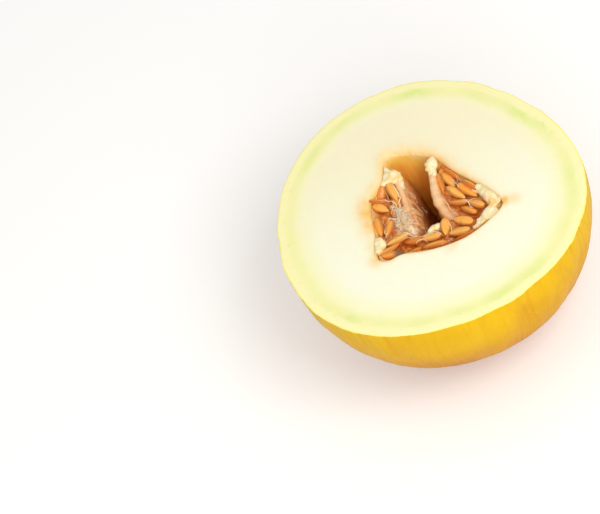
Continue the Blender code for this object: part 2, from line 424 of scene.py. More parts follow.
@dataclass(frozen=True)
class FleshFinish:
    """Moist ivory flesh: a pale band under the skin, a patchy green ring, and peach stains at the cavity.

    The depth under the skin is stored on the mesh, and read here, in millimetres.
    """

    skin: Tint = Tint(249, 236, 134)
    band: Tint = Tint(249, 243, 184)
    ring: Tint = Tint(244, 241, 178)
    green: Tint = Tint(214, 231, 128)
    pale: Tint = Tint(248, 246, 200)
    ivory: Tint = Tint(249, 249, 224)
    cream: Tint = Tint(247, 239, 206)
    peach: Tint = Tint(250, 194, 98)
    reach: float = 26.0
    wander: float = 4.0
    wander_scale: float = 45.0
    green_start: tuple[float, float] = (3.4, 6.2)
    green_end: tuple[float, float] = (6.6, 13.0)
    speck_start: tuple[float, float] = (3.0, 4.4)
    speck_end: tuple[float, float] = (4.8, 6.6)
    speck_scale: tuple[float, float] = (20.0, 900.0)
    patch_scale: float = 70.0
    cream_start: tuple[float, float] = (7.0, 16.0)
    back_shade_span: tuple[float, float] = (-30 * MM, 55 * MM)
    spoke_scale: tuple[float, float] = (70.0, 12.0)
    mottle_scale: float = 150.0
    grain_scale: float = 900.0
    grain_depth: float = 0.1 * MM
    stroke_scale: tuple[float, float, float] = (26.0, 420.0, 1.0)

    def make(self) -> bpy.types.Material:
        """Builds the cut face's material.

        Returns:
            The material.
        """
        g = Graph("flesh")
        place = g.place()
        mottle = g.noise(place, self.mottle_scale, 4.0, 0.5)
        wander = g.math("SUBTRACT", g.noise(place, self.wander_scale, 3.0), 0.5)
        inwards = g.spot("from_rind")
        depth = g.plus(inwards, g.times(g.times(wander, self.wander), g.span(inwards, 1.0, 6.0)))
        stops = (
            (0.0, self.skin),
            (0.012, self.skin),
            (0.035, self.band),
            (0.14, self.band),
            (0.23, self.ring),
            (0.31, self.ring),
            (0.48, self.pale),
            (0.85, self.ivory),
        )
        colour = g.ramp(g.math("DIVIDE", depth, self.reach), stops)
        grown = g.times(g.span(depth, *self.green_start), g.span(depth, *self.green_end, 1.0, 0.0))
        broken = g.span(g.noise(place, self.patch_scale, 3.0), 0.36, 0.6, 0.3, 1.0)
        colour = g.mix(g.times(g.times(grown, g.spot("green")), broken), colour, self.green)
        rows = g.noise(g.around(*self.speck_scale), 1.0, 3.0, 0.3)
        line = g.times(g.span(depth, *self.speck_start), g.span(depth, *self.speck_end, 1.0, 0.0))
        colour = g.mix(g.times(line, g.span(rows, 0.56, 0.7, 0.0, 0.5)), colour, self.green)
        # Painted shade: the flesh towards the back of the cut face is tinted a darker cream, standing in for
        # the light falling off there.
        back_shade = g.span(g.axis(place, "Y"), *self.back_shade_span)
        colour = g.mix(g.times(back_shade, g.span(depth, *self.cream_start)), colour, self.cream)
        spokes = g.noise(g.around(*self.spoke_scale), 1.0, 4.0)
        colour = g.mix(g.span(spokes, 0.5, 0.8, 0.0, 0.14), colour, self.cream)
        stained = g.times(g.spot("stain"), g.span(mottle, 0.25, 0.7, 0.65, 1.1))
        colour = g.mix(stained, colour, self.peach)
        grain = g.plus(g.times(g.cells(place, self.grain_scale), 0.6), g.times(mottle, 0.8))
        g.gloss(g.span(mottle, 0.35, 0.65, 0.34, 0.5), level=0.3, coat=0.06)
        g.bump(grain, self.grain_depth, 0.45)
        g.bump(g.noise(g.stretch(place, self.stroke_scale), 1.0, 3.0, 0.2), self.grain_depth, 0.3)
        g.glow(0.4, (3.2, 2.4, 1.2))
        return g.paint(colour)


@dataclass(frozen=True)
class CavityFinish:
    """The wet orange wall of the seed cavity: cream at the lip, golden below it, deep orange at the foot, the
    deepening partly its own colour and partly painted shade.
    """

    lip: Tint = Tint(252, 216, 140)
    golden: Tint = Tint(255, 210, 98)
    orange: Tint = Tint(255, 184, 78)
    deep: Tint = Tint(246, 144, 28)
    fibre: Tint = Tint(255, 224, 150)
    depth: float = 50 * MM
    blotch_scale: float = 95.0
    blotch_depth: float = 0.3 * MM
    strand_scale: tuple[float, float] = (48.0, 30.0)
    strand_depth: float = 0.4 * MM

    def make(self) -> bpy.types.Material:
        """Builds the cavity wall's material.

        Returns:
            The material.
        """
        g = Graph("cavity_wall")
        blotch = g.noise(g.place(), self.blotch_scale, 4.0, 0.5)
        uneven = g.times(g.math("SUBTRACT", blotch, 0.5), 0.45)
        # Partly painted shade: the wall deepens from cream to deep orange with depth, standing in for the
        # cavity's shade as well as its own colour change.
        share = g.plus(g.math("DIVIDE", g.drop(), self.depth), uneven)
        stops = ((0.04, self.lip), (0.12, self.golden), (0.26, self.orange), (0.75, self.deep))
        colour = g.ramp(share, stops)
        strands = g.noise(g.around(*self.strand_scale), 1.0, 5.0, 0.5)
        colour = g.mix(g.span(strands, 0.52, 0.76, 0.0, 0.25), colour, self.fibre)
        # Painted shade: the grooves between the wall's strands are tinted deeper orange.
        colour = g.mix(g.span(strands, 0.26, 0.46, 0.14, 0.0), colour, self.deep)
        g.gloss(g.span(blotch, 0.3, 0.7, 0.26, 0.44), level=0.4, coat=0.2, coat_roughness=0.18)
        g.bump(strands, self.strand_depth, 0.45)
        g.bump(blotch, self.blotch_depth, 0.4)
        g.glow(0.7, (8.0, 3.4, 0.9))
        return g.paint(colour)


@dataclass(frozen=True)
class SeedFinish:
    """Glossy orange seeds, each with a tone of its own, stains, and a darker margin that is partly the seed's
    own rim and partly painted shade.
    """

    dark: Tint = Tint(206, 104, 24)
    tan: Tint = Tint(244, 158, 54)
    light: Tint = Tint(254, 196, 98)
    margin: Tint = Tint(168, 70, 12)
    stain: Tint = Tint(170, 76, 16)
    burnt: Tint = Tint(96, 76, 66)
    mottle_scale: float = 420.0
    mottle_depth: float = 0.12 * MM
    stain_scale: float = 190.0

    def make(self) -> bpy.types.Material:
        """Builds the seeds' material.

        Returns:
            The material.
        """
        g = Graph("seed_coat")
        place = g.place()
        mottle = g.noise(place, self.mottle_scale, 3.0, 0.4)
        tone = g.plus(g.times(g.spot("tone"), 0.8), g.times(mottle, 0.3))
        colour = g.ramp(tone, ((0.1, self.dark), (0.52, self.tan), (0.95, self.light)))
        # Partly painted shade: the seed's margin is darkened for the shade along its edge and between
        # neighbours, over its own darker rim.
        colour = g.mix(g.times(g.spot("margin"), 0.65), colour, self.margin)
        stained = g.span(g.noise(place, self.stain_scale, 3.0), 0.58, 0.74, 0.0, 0.5)
        colour = g.mix(stained, colour, self.stain)
        colour = g.mix(g.spot("burnt"), colour, self.burnt)
        g.gloss(g.span(mottle, 0.3, 0.7, 0.24, 0.4), level=0.35, coat=0.3, coat_roughness=0.12)
        g.bump(mottle, self.mottle_depth, 0.5)
        g.glow(0.25, (2.4, 1.1, 0.4))
        return g.paint(colour)


@dataclass(frozen=True)
class PulpFinish:
    """Soft wet pulp: orange between the seeds, a peach rim at the wall that is partly painted light, cream
    crests, grey-pink fluff, and a tan lining running from pale at its top to dusk deep down, partly as
    painted light and shade, with painted shade in its folds.
    """

    shade: Tint = Tint(152, 66, 18)
    orange: Tint = Tint(222, 126, 46)
    light: Tint = Tint(248, 188, 108)
    rim: Tint = Tint(255, 212, 136)
    cream: Tint = Tint(254, 236, 194)
    straw: Tint = Tint(250, 206, 128)
    pale: Tint = Tint(246, 204, 154)
    veil: Tint = Tint(232, 168, 110)
    tan: Tint = Tint(218, 140, 78)
    dusk: Tint = Tint(178, 92, 34)
    mauve: Tint = Tint(198, 134, 98)
    down: Tint = Tint(255, 228, 192)
    depth: float = 34 * MM
    blotch_scale: float = 240.0
    blotch_depth: float = 0.3 * MM
    strand_scale: tuple[float, float] = (52.0, 40.0)
    strand_depth: float = 0.4 * MM
    wool_scale: float = 520.0

    def make(self) -> bpy.types.Material:
        """Builds the pulp's material.

        Returns:
            The material.
        """
        g = Graph("pulp")
        place = g.place()
        down = g.math("DIVIDE", g.drop(), self.depth)
        blotch = g.noise(place, self.blotch_scale, 5.0, 0.8)
        colour = g.ramp(blotch, ((0.28, self.shade), (0.48, self.orange), (0.72, self.light)))
        strands = g.noise(g.around(*self.strand_scale), 1.0, 5.0, 0.8)
        # Partly painted light: the pulp by the cavity wall is tinted a lighter peach, its own stain at the
        # flesh's edge together with light painted over the wall's shadow.
        colour = g.mix(g.spot("rim"), colour, self.rim)
        # Partly painted light and shade: the lining runs from pale at its top edge to dusk deep in the
        # hollow, over its own tan.
        lining = g.ramp(down, ((0.08, self.pale), (0.18, self.veil), (0.36, self.tan), (0.75, self.dusk)))
        # Painted shade: the fold valleys deep in the hollow are tinted dusk.
        fold_shade = g.times(g.span(g.spot("fold"), 0.1, 0.6, 0.7, 0.0), g.span(down, 0.16, 0.4))
        lining = g.mix(fold_shade, lining, self.dusk)
        lining = g.mix(g.span(strands, 0.5, 0.75, 0.0, 0.35), lining, self.pale)
        colour = g.mix(g.spot(Skin.LINING.value), colour, lining)
        wool = g.ramp(g.noise(place, self.wool_scale, 4.0, 1.4), ((0.36, self.mauve), (0.54, self.down)))
        colour = g.mix(g.spot(Skin.FLUFF.value), colour, wool)
        crust = g.ramp(blotch, ((0.32, self.straw), (0.56, self.cream)))
        colour = g.mix(g.spot(Skin.CREAM.value), colour, crust)
        g.gloss(g.span(blotch, 0.3, 0.7, 0.26, 0.45), level=0.4, coat=0.25, coat_roughness=0.18)
        g.bump(strands, self.strand_depth, 0.5)
        g.bump(blotch, self.blotch_depth, 0.5)
        g.glow(0.4, (3.4, 2.0, 1.0))
        return g.paint(colour)


@dataclass(frozen=True)
class FibreFinish:
    """Thin wet fibres, from tan on the hollow's wall to pale cream in the tufts."""

    tan: Tint = Tint(238, 178, 120)
    cream: Tint = Tint(252, 214, 164)
    white: Tint = Tint(255, 234, 196)
    streak_scale: float = 420.0
    streak_depth: float = 0.05 * MM

    def make(self) -> bpy.types.Material:
        """Builds the fibres' material.

        Returns:
            The material.
        """
        g = Graph("fibre")
        streak = g.noise(g.place(), self.streak_scale, 2.0)
        tone = g.plus(g.times(g.spot("tone"), 0.8), g.times(streak, 0.2))
        g.gloss(0.36, level=0.4, coat=0.2)
        g.bump(streak, self.streak_depth, 0.4)
        g.glow(0.4, (1.5, 1.0, 0.6))
        return g.paint(g.ramp(tone, ((0.1, self.tan), (0.5, self.cream), (0.85, self.white))))


@dataclass(frozen=True)
class FloorFinish:
    """A plain pale matte surface with a faint light of its own."""

    pale: Tint = Tint(252, 252, 252)
    light: float = 0.1

    def make(self) -> bpy.types.Material:
        """Builds the floor's material.

        Returns:
            The material.
        """
        g = Graph("floor")
        g.gloss(0.8, level=0.1)
        g.feed(g.shader.inputs["Emission Color"], self.pale)
        g.feed(g.shader.inputs["Emission Strength"], self.light)
        return g.paint(self.pale)


def add_object(name: str, data: bpy.types.ID) -> bpy.types.Object:
    """Puts a mesh, a light or a camera in the scene.

    Args:
        name: The object's name.
        data: The mesh, light or camera.

    Returns:
        The object.
    """
    made = bpy.data.objects.new(name, data)
    bpy.context.scene.collection.objects.link(made)
    return made


def mesh_object(name: str, points: np.ndarray, faces: Faces) -> bpy.types.Object:
    """Makes a smooth-shaded mesh object in the scene.

    Args:
        name: The object's name.
        points: The mesh's points, one row each.
        faces: The faces, as point numbers.

    Returns:
        The object.
    """
    mesh = bpy.data.meshes.new(name)
    mesh.from_pydata(points.tolist(), [], faces)
    mesh.shade_smooth()
    mesh.update()
    return add_object(name, mesh)


def store(obj: bpy.types.Object, name: str, values: Iterable[float]) -> None:
    """Stores one number for each point of a mesh, for its material.

    Args:
        obj: The mesh object.
        name: The name that the material reads it by.
        values: The numbers, in the order of the points.
    """
    layer = obj.data.attributes.new(name, "FLOAT", "POINT")
    layer.data.foreach_set("value", np.asarray(list(values), np.float32))


def turn_outwards(obj: bpy.types.Object) -> None:
    """Makes all faces of a closed mesh point out.

    Args:
        obj: The mesh object.
    """
    work = bmesh.new()
    work.from_mesh(obj.data)
    bmesh.ops.recalc_face_normals(work, faces=work.faces)
    work.to_mesh(obj.data)
    work.free()


def ring_faces(rings: int, columns: int, first: int = 0) -> Faces:
    """The faces of a tube of rings that close round.

    Args:
        rings: How many rings there are.
        columns: How many points each ring has.
        first: The number of the first ring's first point.

    Returns:
        The faces, ring by ring.
    """
    faces: Faces = []
    for ring in range(rings - 1):
        low = first + ring * columns
        for i in range(columns):
            j = (i + 1) % columns
            faces.append((low + i, low + j, low + columns + j, low + columns + i))
    return faces


def cap_faces(ring_start: int, columns: int, tip: int) -> Faces:
    """The faces between a ring and one point.

    Args:
        ring_start: The number of the ring's first point.
        columns: How many points the ring has.
        tip: The number of the point.

    Returns:
        The faces.
    """
    return [(ring_start + (i + 1) % columns, ring_start + i, tip) for i in range(columns)]


def segment_gap(points: np.ndarray, start: np.ndarray, end: np.ndarray) -> tuple[np.ndarray, np.ndarray]:
    """How far points lie from a straight line between two ends.

    Args:
        points: The points, one row each.
        start: The line's start, or one for each point.
        end: The line's end, or one for each point.

    Returns:
        Each point's distance, and how far along the line its nearest place is, from 0 to 1.
    """
    run = end - start
    along = ((points - start) * run).sum(1) / (run * run).sum(-1)
    along = np.clip(along, 0, 1)
    nearest = start + run * along[:, None]
    return np.linalg.norm(points - nearest, axis=1), along


@dataclass(frozen=True)
class MelonShape:
    """The rules and sizes that the melon's solid is made by.

    Each of rim_lobes is how many lobes go round, how far they reach out and the angle of one of
    them in degrees. The outlines are places across the cut face.
    """

    rim_radius: float = 76 * MM
    pole_depth: float = 85.6 * MM
    rest_radius: float = 9 * MM
    rim_lobes: Table = ((2, 2.5 * MM, -43), (3, 1.8 * MM, -17), (4, 0.4 * MM, 55), (5, 0.2 * MM, 3))
    ridge_counts: tuple[int, ...] = (11, 17, 23)
    ridge_height: float = 0.2 * MM
    ridge_slant: float = math.radians(14)
    cavity_depth: float = 57 * MM
    cavity_centre: tuple[float, float] = (1 * MM, 0.5 * MM)
    cavity_rounding: float = 0.55
    cavity_outline: Table = (
        (36.3 * MM, -11.6 * MM),
        (29.8 * MM, -0.2 * MM),
        (16.5 * MM, 15.9 * MM),
        (8.5 * MM, 27.5 * MM),
        (-2.5 * MM, 34.5 * MM),
        (-14.5 * MM, 36 * MM),
        (-18.5 * MM, 23 * MM),
        (-27 * MM, 11.5 * MM),
        (-27.5 * MM, -7 * MM),
        (-28.5 * MM, -20.3 * MM),
        (-23.6 * MM, -24.5 * MM),
        (-15.5 * MM, -23.5 * MM),
        (-0.5 * MM, -26.5 * MM),
        (15.5 * MM, -25.5 * MM),
        (29.5 * MM, -18.8 * MM),
    )
    curve_steps: int = 24
    hollow_depth: float = 42 * MM
    hollow_outline: Table = (
        (-15 * MM, 41 * MM),
        (-10.5 * MM, 24.5 * MM),
        (-9.5 * MM, 12 * MM),
        (-7 * MM, -3 * MM),
        (-9.5 * MM, -13 * MM),
        (1.5 * MM, -12.5 * MM),
        (7 * MM, -10 * MM),
        (4 * MM, 5 * MM),
        (3.2 * MM, 21 * MM),
        (3.5 * MM, 39 * MM),
    )
    hollow_middle: tuple[float, float] = (-2.5 * MM, 13 * MM)
    hollow_foot: tuple[float, float] = (1 * MM, 8.5 * MM)
    hollow_foot_scale: tuple[float, float] = (0.35, 0.57)

    def rest_height(self) -> float:
        """How far the flat spot lies above the whole melon's pole."""
        return self.pole_depth * (1 - math.sqrt(1 - (self.rest_radius / self.rim_radius) ** 2))

    def cut_height(self) -> float:
        """Height of the cut face above the surface that the melon rests on."""
        return self.pole_depth - self.rest_height()

    def low_swing(self) -> float:
        """The swing from the pole at which the flat spot ends."""
        return math.asin(self.rest_radius / self.rim_radius)

    def lobes(self, angle: np.ndarray) -> np.ndarray:
        """How far the broad lobes push the girth out, at each angle."""
        return sum(size * np.cos(n * (angle - math.radians(peak))) for n, size, peak in self.rim_lobes)

    def ridges(self, angle: np.ndarray, swing: float) -> np.ndarray:
        """Height of the lengthwise ridges.

        Args:
            angle: Angles round the melon.
            swing: 0 at the pole and a quarter turn at the cut.

        Returns:
            The ridges' height at each angle.
        """
        slant = self.ridge_slant * math.sin(2 * swing)
        waves = [np.cos(n * (angle + slant) + n * n) for n in self.ridge_counts]
        patches = 0.6 + 0.4 * np.cos(3 * angle + 2 * swing)
        return self.ridge_height * patches * sum(waves)

    def rind_ring(self, angle: np.ndarray, swing: float) -> np.ndarray:
        """One ring of points of the rind.

        Args:
            angle: Angles round the melon.
            swing: 0 at the pole and a quarter turn at the cut.

        Returns:
            The points, one row each.
        """
        spread = math.sin(swing)
        radius = self.rim_radius * spread + (self.lobes(angle) + self.ridges(angle, swing)) * spread**2
        height = self.pole_depth * (1 - math.cos(swing)) - self.rest_height()
        return np.stack([radius * np.cos(angle), radius * np.sin(angle), np.full_like(angle, height)], 1)

    def outwards(self, angle: np.ndarray, swing: float) -> np.ndarray:
        """The rind's outward directions along one ring.

        Args:
            angle: Angles round the melon.
            swing: 0 at the pole and a quarter turn at the cut.

        Returns:
            The directions, one row each.
        """
        flat = math.sin(swing) / self.rim_radius
        down = -math.cos(swing) / self.pole_depth
        size = math.hypot(flat, down)
        return np.stack([np.cos(angle) * flat, np.sin(angle) * flat, np.full_like(angle, down)], 1) / size

    def mouth_loop(self) -> np.ndarray:
        """Draws the smooth closed curve through the cavity outline's corners.

        Returns:
            Its points, one row each.
        """
        corners = np.array(self.cavity_outline)
        before, after, last = (np.roll(corners, k, 0) for k in (1, -1, -2))
        found = []
        for t in np.linspace(0, 1, self.curve_steps, endpoint=False):
            found.append(
                corners * (2 * t**3 - 3 * t**2 + 1)
                + after * (3 * t**2 - 2 * t**3)
                + (after - before) / 2 * (t**3 - 2 * t**2 + t)
                + (last - corners) / 2 * (t**3 - t**2)
            )
        return np.stack(found, 1).reshape(-1, 2)

    def mouth_reach(self, angle: np.ndarray) -> np.ndarray:
        """How far the cavity's outline lies from its centre.

        Args:
            angle: Angles round the cavity's centre.

        Returns:
            The distance at each angle.
        """
        away = self.mouth_loop() - np.array(self.cavity_centre)
        turn = np.arctan2(away[:, 1], away[:, 0]) % math.tau
        order = np.argsort(turn)
        return np.interp(angle % math.tau, turn[order], np.hypot(*away.T)[order], period=math.tau)

    def cavity_ring(self, angle: np.ndarray, swing: float) -> np.ndarray:
        """One ring of points of the cavity's wall.

        Args:
            angle: Angles round the cavity's centre.
            swing: 0 at the mouth and a quarter turn at the foot.

        Returns:
            The points, one row each.
        """
        reach = self.mouth_reach(angle)
        rounded = self.cavity_rounding * math.sin(swing)
        out = math.cos(swing) * ((1 - rounded) * reach + rounded * reach.mean())
        height = self.cut_height() - self.cavity_depth * math.sin(swing)
        x = self.cavity_centre[0] + out * np.cos(angle)
        y = self.cavity_centre[1] + out * np.sin(angle)
        return np.stack([x, y, np.full_like(angle, height)], 1)

    def hollow_gap(self, points: np.ndarray) -> np.ndarray:
        """How far points lie from the wall of the hollow between the masses of pulp.

        Args:
            points: The points, one row each.

        Returns:
            Each point's distance from the hollow's outline at the point's own height.
        """
        share = (self.cut_height() - points[:, 2:]) / self.hollow_depth
        top = np.array(self.hollow_outline)
        foot = np.array(self.hollow_foot) + (top - np.array(self.hollow_middle)) * self.hollow_foot_scale
        gaps = []
        for k in range(len(top)):
            j = (k + 1) % len(top)
            start = top[k] * (1 - share) + foot[k] * share
            end = top[j] * (1 - share) + foot[j] * share
            gaps.append(segment_gap(points[:, :2], start, end)[0])
        return np.min(gaps, axis=0)


@dataclass
class MelonHalf:
    """The rind, the cut face and the cavity wall, in one closed skin.

    Each of cut_marks is a layer of the cut's roughness: its depth in millimetres, a shift that
    sets it apart from the others, and how broad its swells are. Each of scar_rings is a radius
    and a height over the flat spot. Each of green_arcs is an angle, a width in degrees and a
    strength, and each of stains a place, a reach and a strength.
    """

    shape: MelonShape = field(default_factory=MelonShape)
    columns: int = 540
    rind_rings: int = 88
    face_rings: int = 42
    wall_rings: int = 32
    furrow_spacing: float = 6.5 * MM
    furrow_length: float = 34 * MM
    furrow_depth: float = 0.26 * MM
    crease_spacing: float = 2.7 * MM
    crease_length: float = 15 * MM
    crease_depth: float = 0.1 * MM
    dent_size: float = 24 * MM
    dent_depth: float = 0.25 * MM
    drift: float = 0.9
    drift_waves: tuple[float, float] = (2.4, 26)
    strength_waves: tuple[float, float] = (1.7, 18)
    steepness: float = 2.6
    smooth_swing: float = 0.22
    edge_radius: float = 0.35 * MM
    edge_bevel: float = 0.3
    cut_marks: Table = ((0.1, 0.0, 4 * MM), (0.12, 3 * MM, 14 * MM))
    wall_swell: float = 0.5 * MM
    front_lip: float = 1.0 * MM
    left_lip: float = 2.0 * MM
    back_lip: float = 3.2 * MM
    scar_rings: Table = ((7 * MM, 0.0), (4.4 * MM, 0.0), (3.4 * MM, 0.45 * MM), (1.8 * MM, 0.6 * MM))
    green_arcs: Table = (
        (30, 13, 0.75),
        (55, 10, 0.3),
        (86, 7, 0.75),
        (119, 10, 0.35),
        (136, 9, 0.4),
        (-135, 11, 0.6),
        (-107, 14, 0.5),
        (-85, 8, 0.3),
        (-67, 8, 0.6),
        (-52, 9, 0.7),
        (-22, 12, 0.35),
        (-6, 10, 0.4),
        (178, 12, 0.1),
    )
    stains: Table = (
        (-29.5 * MM, 8.5 * MM, 9 * MM, 1.15),
        (-23.5 * MM, 18.5 * MM, 6 * MM, 0.7),
        (-28.5 * MM, -2 * MM, 8 * MM, 1.0),
        (-28.5 * MM, -14 * MM, 5 * MM, 0.6),
        (-15 * MM, 35.5 * MM, 3.5 * MM, 0.6),
        (14 * MM, 25 * MM, 5 * MM, 0.3),
        (37.4 * MM, -11.8 * MM, 3.2 * MM, 1.3),
        (43 * MM, -12.5 * MM, 3.4 * MM, 1.4),
        (-29 * MM, -23.5 * MM, 5 * MM, 0.7),
        (8 * MM, -28 * MM, 4.5 * MM, 0.5),
        (22 * MM, -24 * MM, 4 * MM, 0.3),
    )
    stain_reach: float = 7 * MM

    def relief(self, angle: float, swing: float) -> tuple[float, float]:
        """Height of the rind's furrows, creases and dents at one point.

        Args:
            angle: The point's angle round the melon.
            swing: 0 at the pole and a quarter turn at the cut.

        Returns:
            The height, and how much of a furrow the point lies in, from 0 to 1.
        """
        spread = math.sqrt(math.sin(swing))
        along = swing * self.shape.pole_depth
        girth = self.shape.rim_radius * spread
        turn = Vector((math.cos(angle), math.sin(angle), 0.0))
        around, down = self.drift_waves
        drift = self.drift * noise.noise(turn * around + Vector((0, 0, along * down)))
        lean = Vector((-turn.y, turn.x, 0.0)) * drift
        broad = (turn * girth) / self.furrow_spacing + lean + Vector((0, 0, along / self.furrow_length))
        fine = (turn * girth) / self.crease_spacing + lean * 2 + Vector((7, 3, along / self.crease_length))
        swell = abs(noise.noise(broad))
        crease = abs(noise.noise(fine))
        around, down = self.strength_waves
        patch = noise.noise(turn * around + Vector((4, 1, along * down)))
        strength = 0.35 + 0.65 * ease(-0.25, 0.35, patch)
        dent = noise.noise(turn * girth / self.dent_size + Vector((1, 8, along / self.dent_size)))
        fade = ease(self.shape.low_swing(), self.shape.low_swing() + self.smooth_swing, swing)
        height = self.furrow_depth * strength * (min(swell * self.steepness, 1.0) - 0.6)
        height += self.crease_depth * (min(crease * self.steepness, 1.0) - 0.5)
        height += self.dent_depth * dent
        furrow = strength * (1 - ease(0.0, 0.2, swell)) * 0.8 + 0.2 * (1 - ease(0.0, 0.16, crease))
        return height * fade, furrow * fade

    def rind_part(self, angle: np.ndarray) -> tuple[list[np.ndarray], list[np.ndarray]]:
        """The rings from the flat spot to the cut edge.

        Args:
            angle: Angles of the columns.

        Returns:
            The rings of points, and for each ring how much of a furrow its points lie in.
        """
        low = self.shape.low_swing()
        rings, furrows = [], []
        for ring in range(self.rind_rings + 1):
            swing = low + (math.pi / 2 - low) * ring / self.rind_rings
            marks = np.array([self.relief(a, swing) for a in angle])
            plain = self.shape.rind_ring(angle, swing)
            rings.append(plain + self.shape.outwards(angle, swing) * marks[:, :1])
            furrows.append(marks[:, 1])
        rings[-1][:, 2] -= self.edge_radius
        return rings, furrows

    def lip(self, angle: np.ndarray) -> np.ndarray:
        """Radius of the soft lip at the cavity's mouth: wide at the back and tight in front.

        Args:
            angle: Angles round the melon.

        Returns:
            The radius at each angle.
        """
        back = np.clip(0.35 + 0.9 * np.sin(angle - math.radians(8)), 0, 1)
        left = np.clip(-1.4 * np.cos(angle), 0, 1)
        soft = np.maximum((self.back_lip - self.front_lip) * back, (self.left_lip - self.front_lip) * left)
        return self.front_lip + soft

    def face_part(self, angle: np.ndarray, rim: np.ndarray, mouth: np.ndarray) -> list[np.ndarray]:
        """The rings of the cut face, from its outer edge to the cavity's mouth.

        Args:
            angle: Angles of the columns.
            rim: The rind's last ring.
            mouth: The cavity's outline at the cut.

        Returns:
            The rings of points.
        """
        top = self.shape.cut_height()
        reach = np.hypot(rim[:, 0], rim[:, 1])[:, None]
        outer = rim[:, :2] * (1 - self.edge_radius / reach)
        edge = rim[:, :2] * (1 - self.edge_bevel * self.edge_radius / reach)
        lip = self.lip(angle)
        rings = [np.column_stack([edge, np.full(self.columns, top - self.edge_bevel * self.edge_radius)])]
        for ring in range(self.face_rings + 1):
            share = ring / self.face_rings
            share -= 0.8 * math.sin(math.tau * share) / math.tau
            flat = outer * (1 - share) + mouth * share
            near = np.minimum(self.mouth_gap(flat), lip)
            sag = lip - np.sqrt(lip**2 - (lip - near) ** 2)
            rough = np.zeros(self.columns)
            for deep, slip, grain in self.cut_marks:
                rough += [deep * abs(noise.noise(Vector((x, y, slip)) / grain)) for x, y in flat]
            rings.append(np.column_stack([flat, top - sag - rough * MM]))
        return rings

    def wall_part(self, angle: np.ndarray) -> list[np.ndarray]:
        """The rings of the cavity's wall, from just under the lip to the foot.

        Args:
            angle: Angles of the columns.

        Returns:
            The rings of points.
        """
        start = math.asin(1.15 * self.back_lip / self.shape.cavity_depth)
        turn = np.stack([np.cos(angle), np.sin(angle)], 1)
        rings = []
        for ring in range(self.wall_rings):
            swing = start + (math.pi / 2 - start) * ring / self.wall_rings
            points = self.shape.cavity_ring(angle, swing)
            marks = [
                noise.noise(Vector((x * 7, y * 7, swing * 2.2)))
                + 0.5 * noise.noise(Vector((x * 17, y * 17, swing * 5)))
                for x, y in turn
            ]
            swell = self.wall_swell * np.array(marks) * math.cos(swing) * ease(0, 0.2, swing)
            points[:, :2] += turn * swell[:, None]
            rings.append(points)
        return rings

    def mouth_gap(self, flat: np.ndarray) -> np.ndarray:
        """How far points of the cut face lie from the cavity's outline."""
        away = flat[:, None, :] - self.shape.mouth_loop()[None, :, :]
        return np.linalg.norm(away, axis=2).min(1)

    def colour_face(self, melon: bpy.types.Object, points: np.ndarray, start: int, end: int) -> None:
        """Stores what the flesh's finish needs: depths, green arcs and stains.

        Args:
            melon: The melon's object.
            points: All of its points.
            start: The first point of the cut face.
            end: One past its last point.
        """
        flat = points[start:end, :2]
        turn = np.arctan2(flat[:, 1], flat[:, 0])
        rim = self.shape.rim_radius + self.shape.lobes(turn) + self.shape.ridges(turn, math.pi / 2)
        depth = (rim - np.hypot(*flat.T)) / MM
        green = np.zeros(len(flat))
        for peak, width, strength in self.green_arcs:
            off = (np.degrees(turn) - peak + 180) % 360 - 180
            green = np.maximum(green, strength * np.exp(-((off / width) ** 2)))
        gap = self.mouth_gap(flat)
        near = np.exp(-((gap / self.stain_reach) ** 1.5))
        stain = 0.1 * near + 0.7 * np.exp(-((gap / self.lip(turn)) ** 1.5))
        for x, y, reach, strength in self.stains:
            away = np.hypot(flat[:, 0] - x, flat[:, 1] - y) / reach
            stain = np.maximum(stain, strength * np.exp(-(away**2)) * near)
        for name, values in (("from_rind", depth), ("green", green), ("stain", stain)):
            full = np.zeros(len(points))
            full[start:end] = values
            store(melon, name, full)

    def build(self) -> bpy.types.Object:
        """Builds the melon's skin and dresses it.

        Returns:
            The melon's object.
        """
        angle = np.linspace(0, math.tau, self.columns, endpoint=False)
        rind, furrows = self.rind_part(angle)
        scar = [
            np.column_stack([r * np.cos(angle), r * np.sin(angle), np.full_like(angle, z)])
            for r, z in reversed(self.scar_rings)
        ]
        mouth = self.shape.cavity_ring(angle, 0.0)[:, :2]
        face = self.face_part(angle, rind[-1], mouth)
        rings = [*scar, *rind, *face, *self.wall_part(angle)]
        top_pole = (*self.shape.cavity_centre, self.shape.cut_height() - self.shape.cavity_depth)
        points = np.concatenate([*rings, [(0, 0, self.scar_rings[-1][1]), top_pole]])
        count = len(rings) * self.columns
        faces = ring_faces(len(rings), self.columns)
        faces += cap_faces(0, self.columns, count)
        faces += cap_faces(count - self.columns, self.columns, count + 1)
        melon = mesh_object("melon", points, faces)
        first_rind = len(scar) * self.columns
        first_face = first_rind + len(rind) * self.columns
        marks = np.zeros(len(points))
        marks[first_rind:first_face] = np.concatenate(furrows)
        store(melon, "furrow", marks)
        self.colour_face(melon, points, first_face, first_face + len(face) * self.columns)
        self.dress(melon, len(scar) + len(rind), len(face))
        turn_outwards(melon)
        return melon

    def dress(self, melon: bpy.types.Object, rind_count: int, face_count: int) -> None:
        """Gives the melon its finishes, band by band.

        Args:
            melon: The melon's object.
            rind_count: How many rings the rind has, its scar included.
            face_count: How many rings the cut face has.
        """
        for finish in (RindFinish(), FleshFinish(), CavityFinish()):
            melon.data.materials.append(finish.make())
        zones = np.full(len(melon.data.polygons), Zone.RIND.value, np.int32)
        zones[(rind_count - 1) * self.columns:] = Zone.FLESH.value
        zones[(rind_count + face_count - 1) * self.columns:] = Zone.CAVITY.value
        zones[-2 * self.columns:-self.columns] = Zone.RIND.value  # the scar's own cap
        melon.data.polygons.foreach_set("material_index", zones)


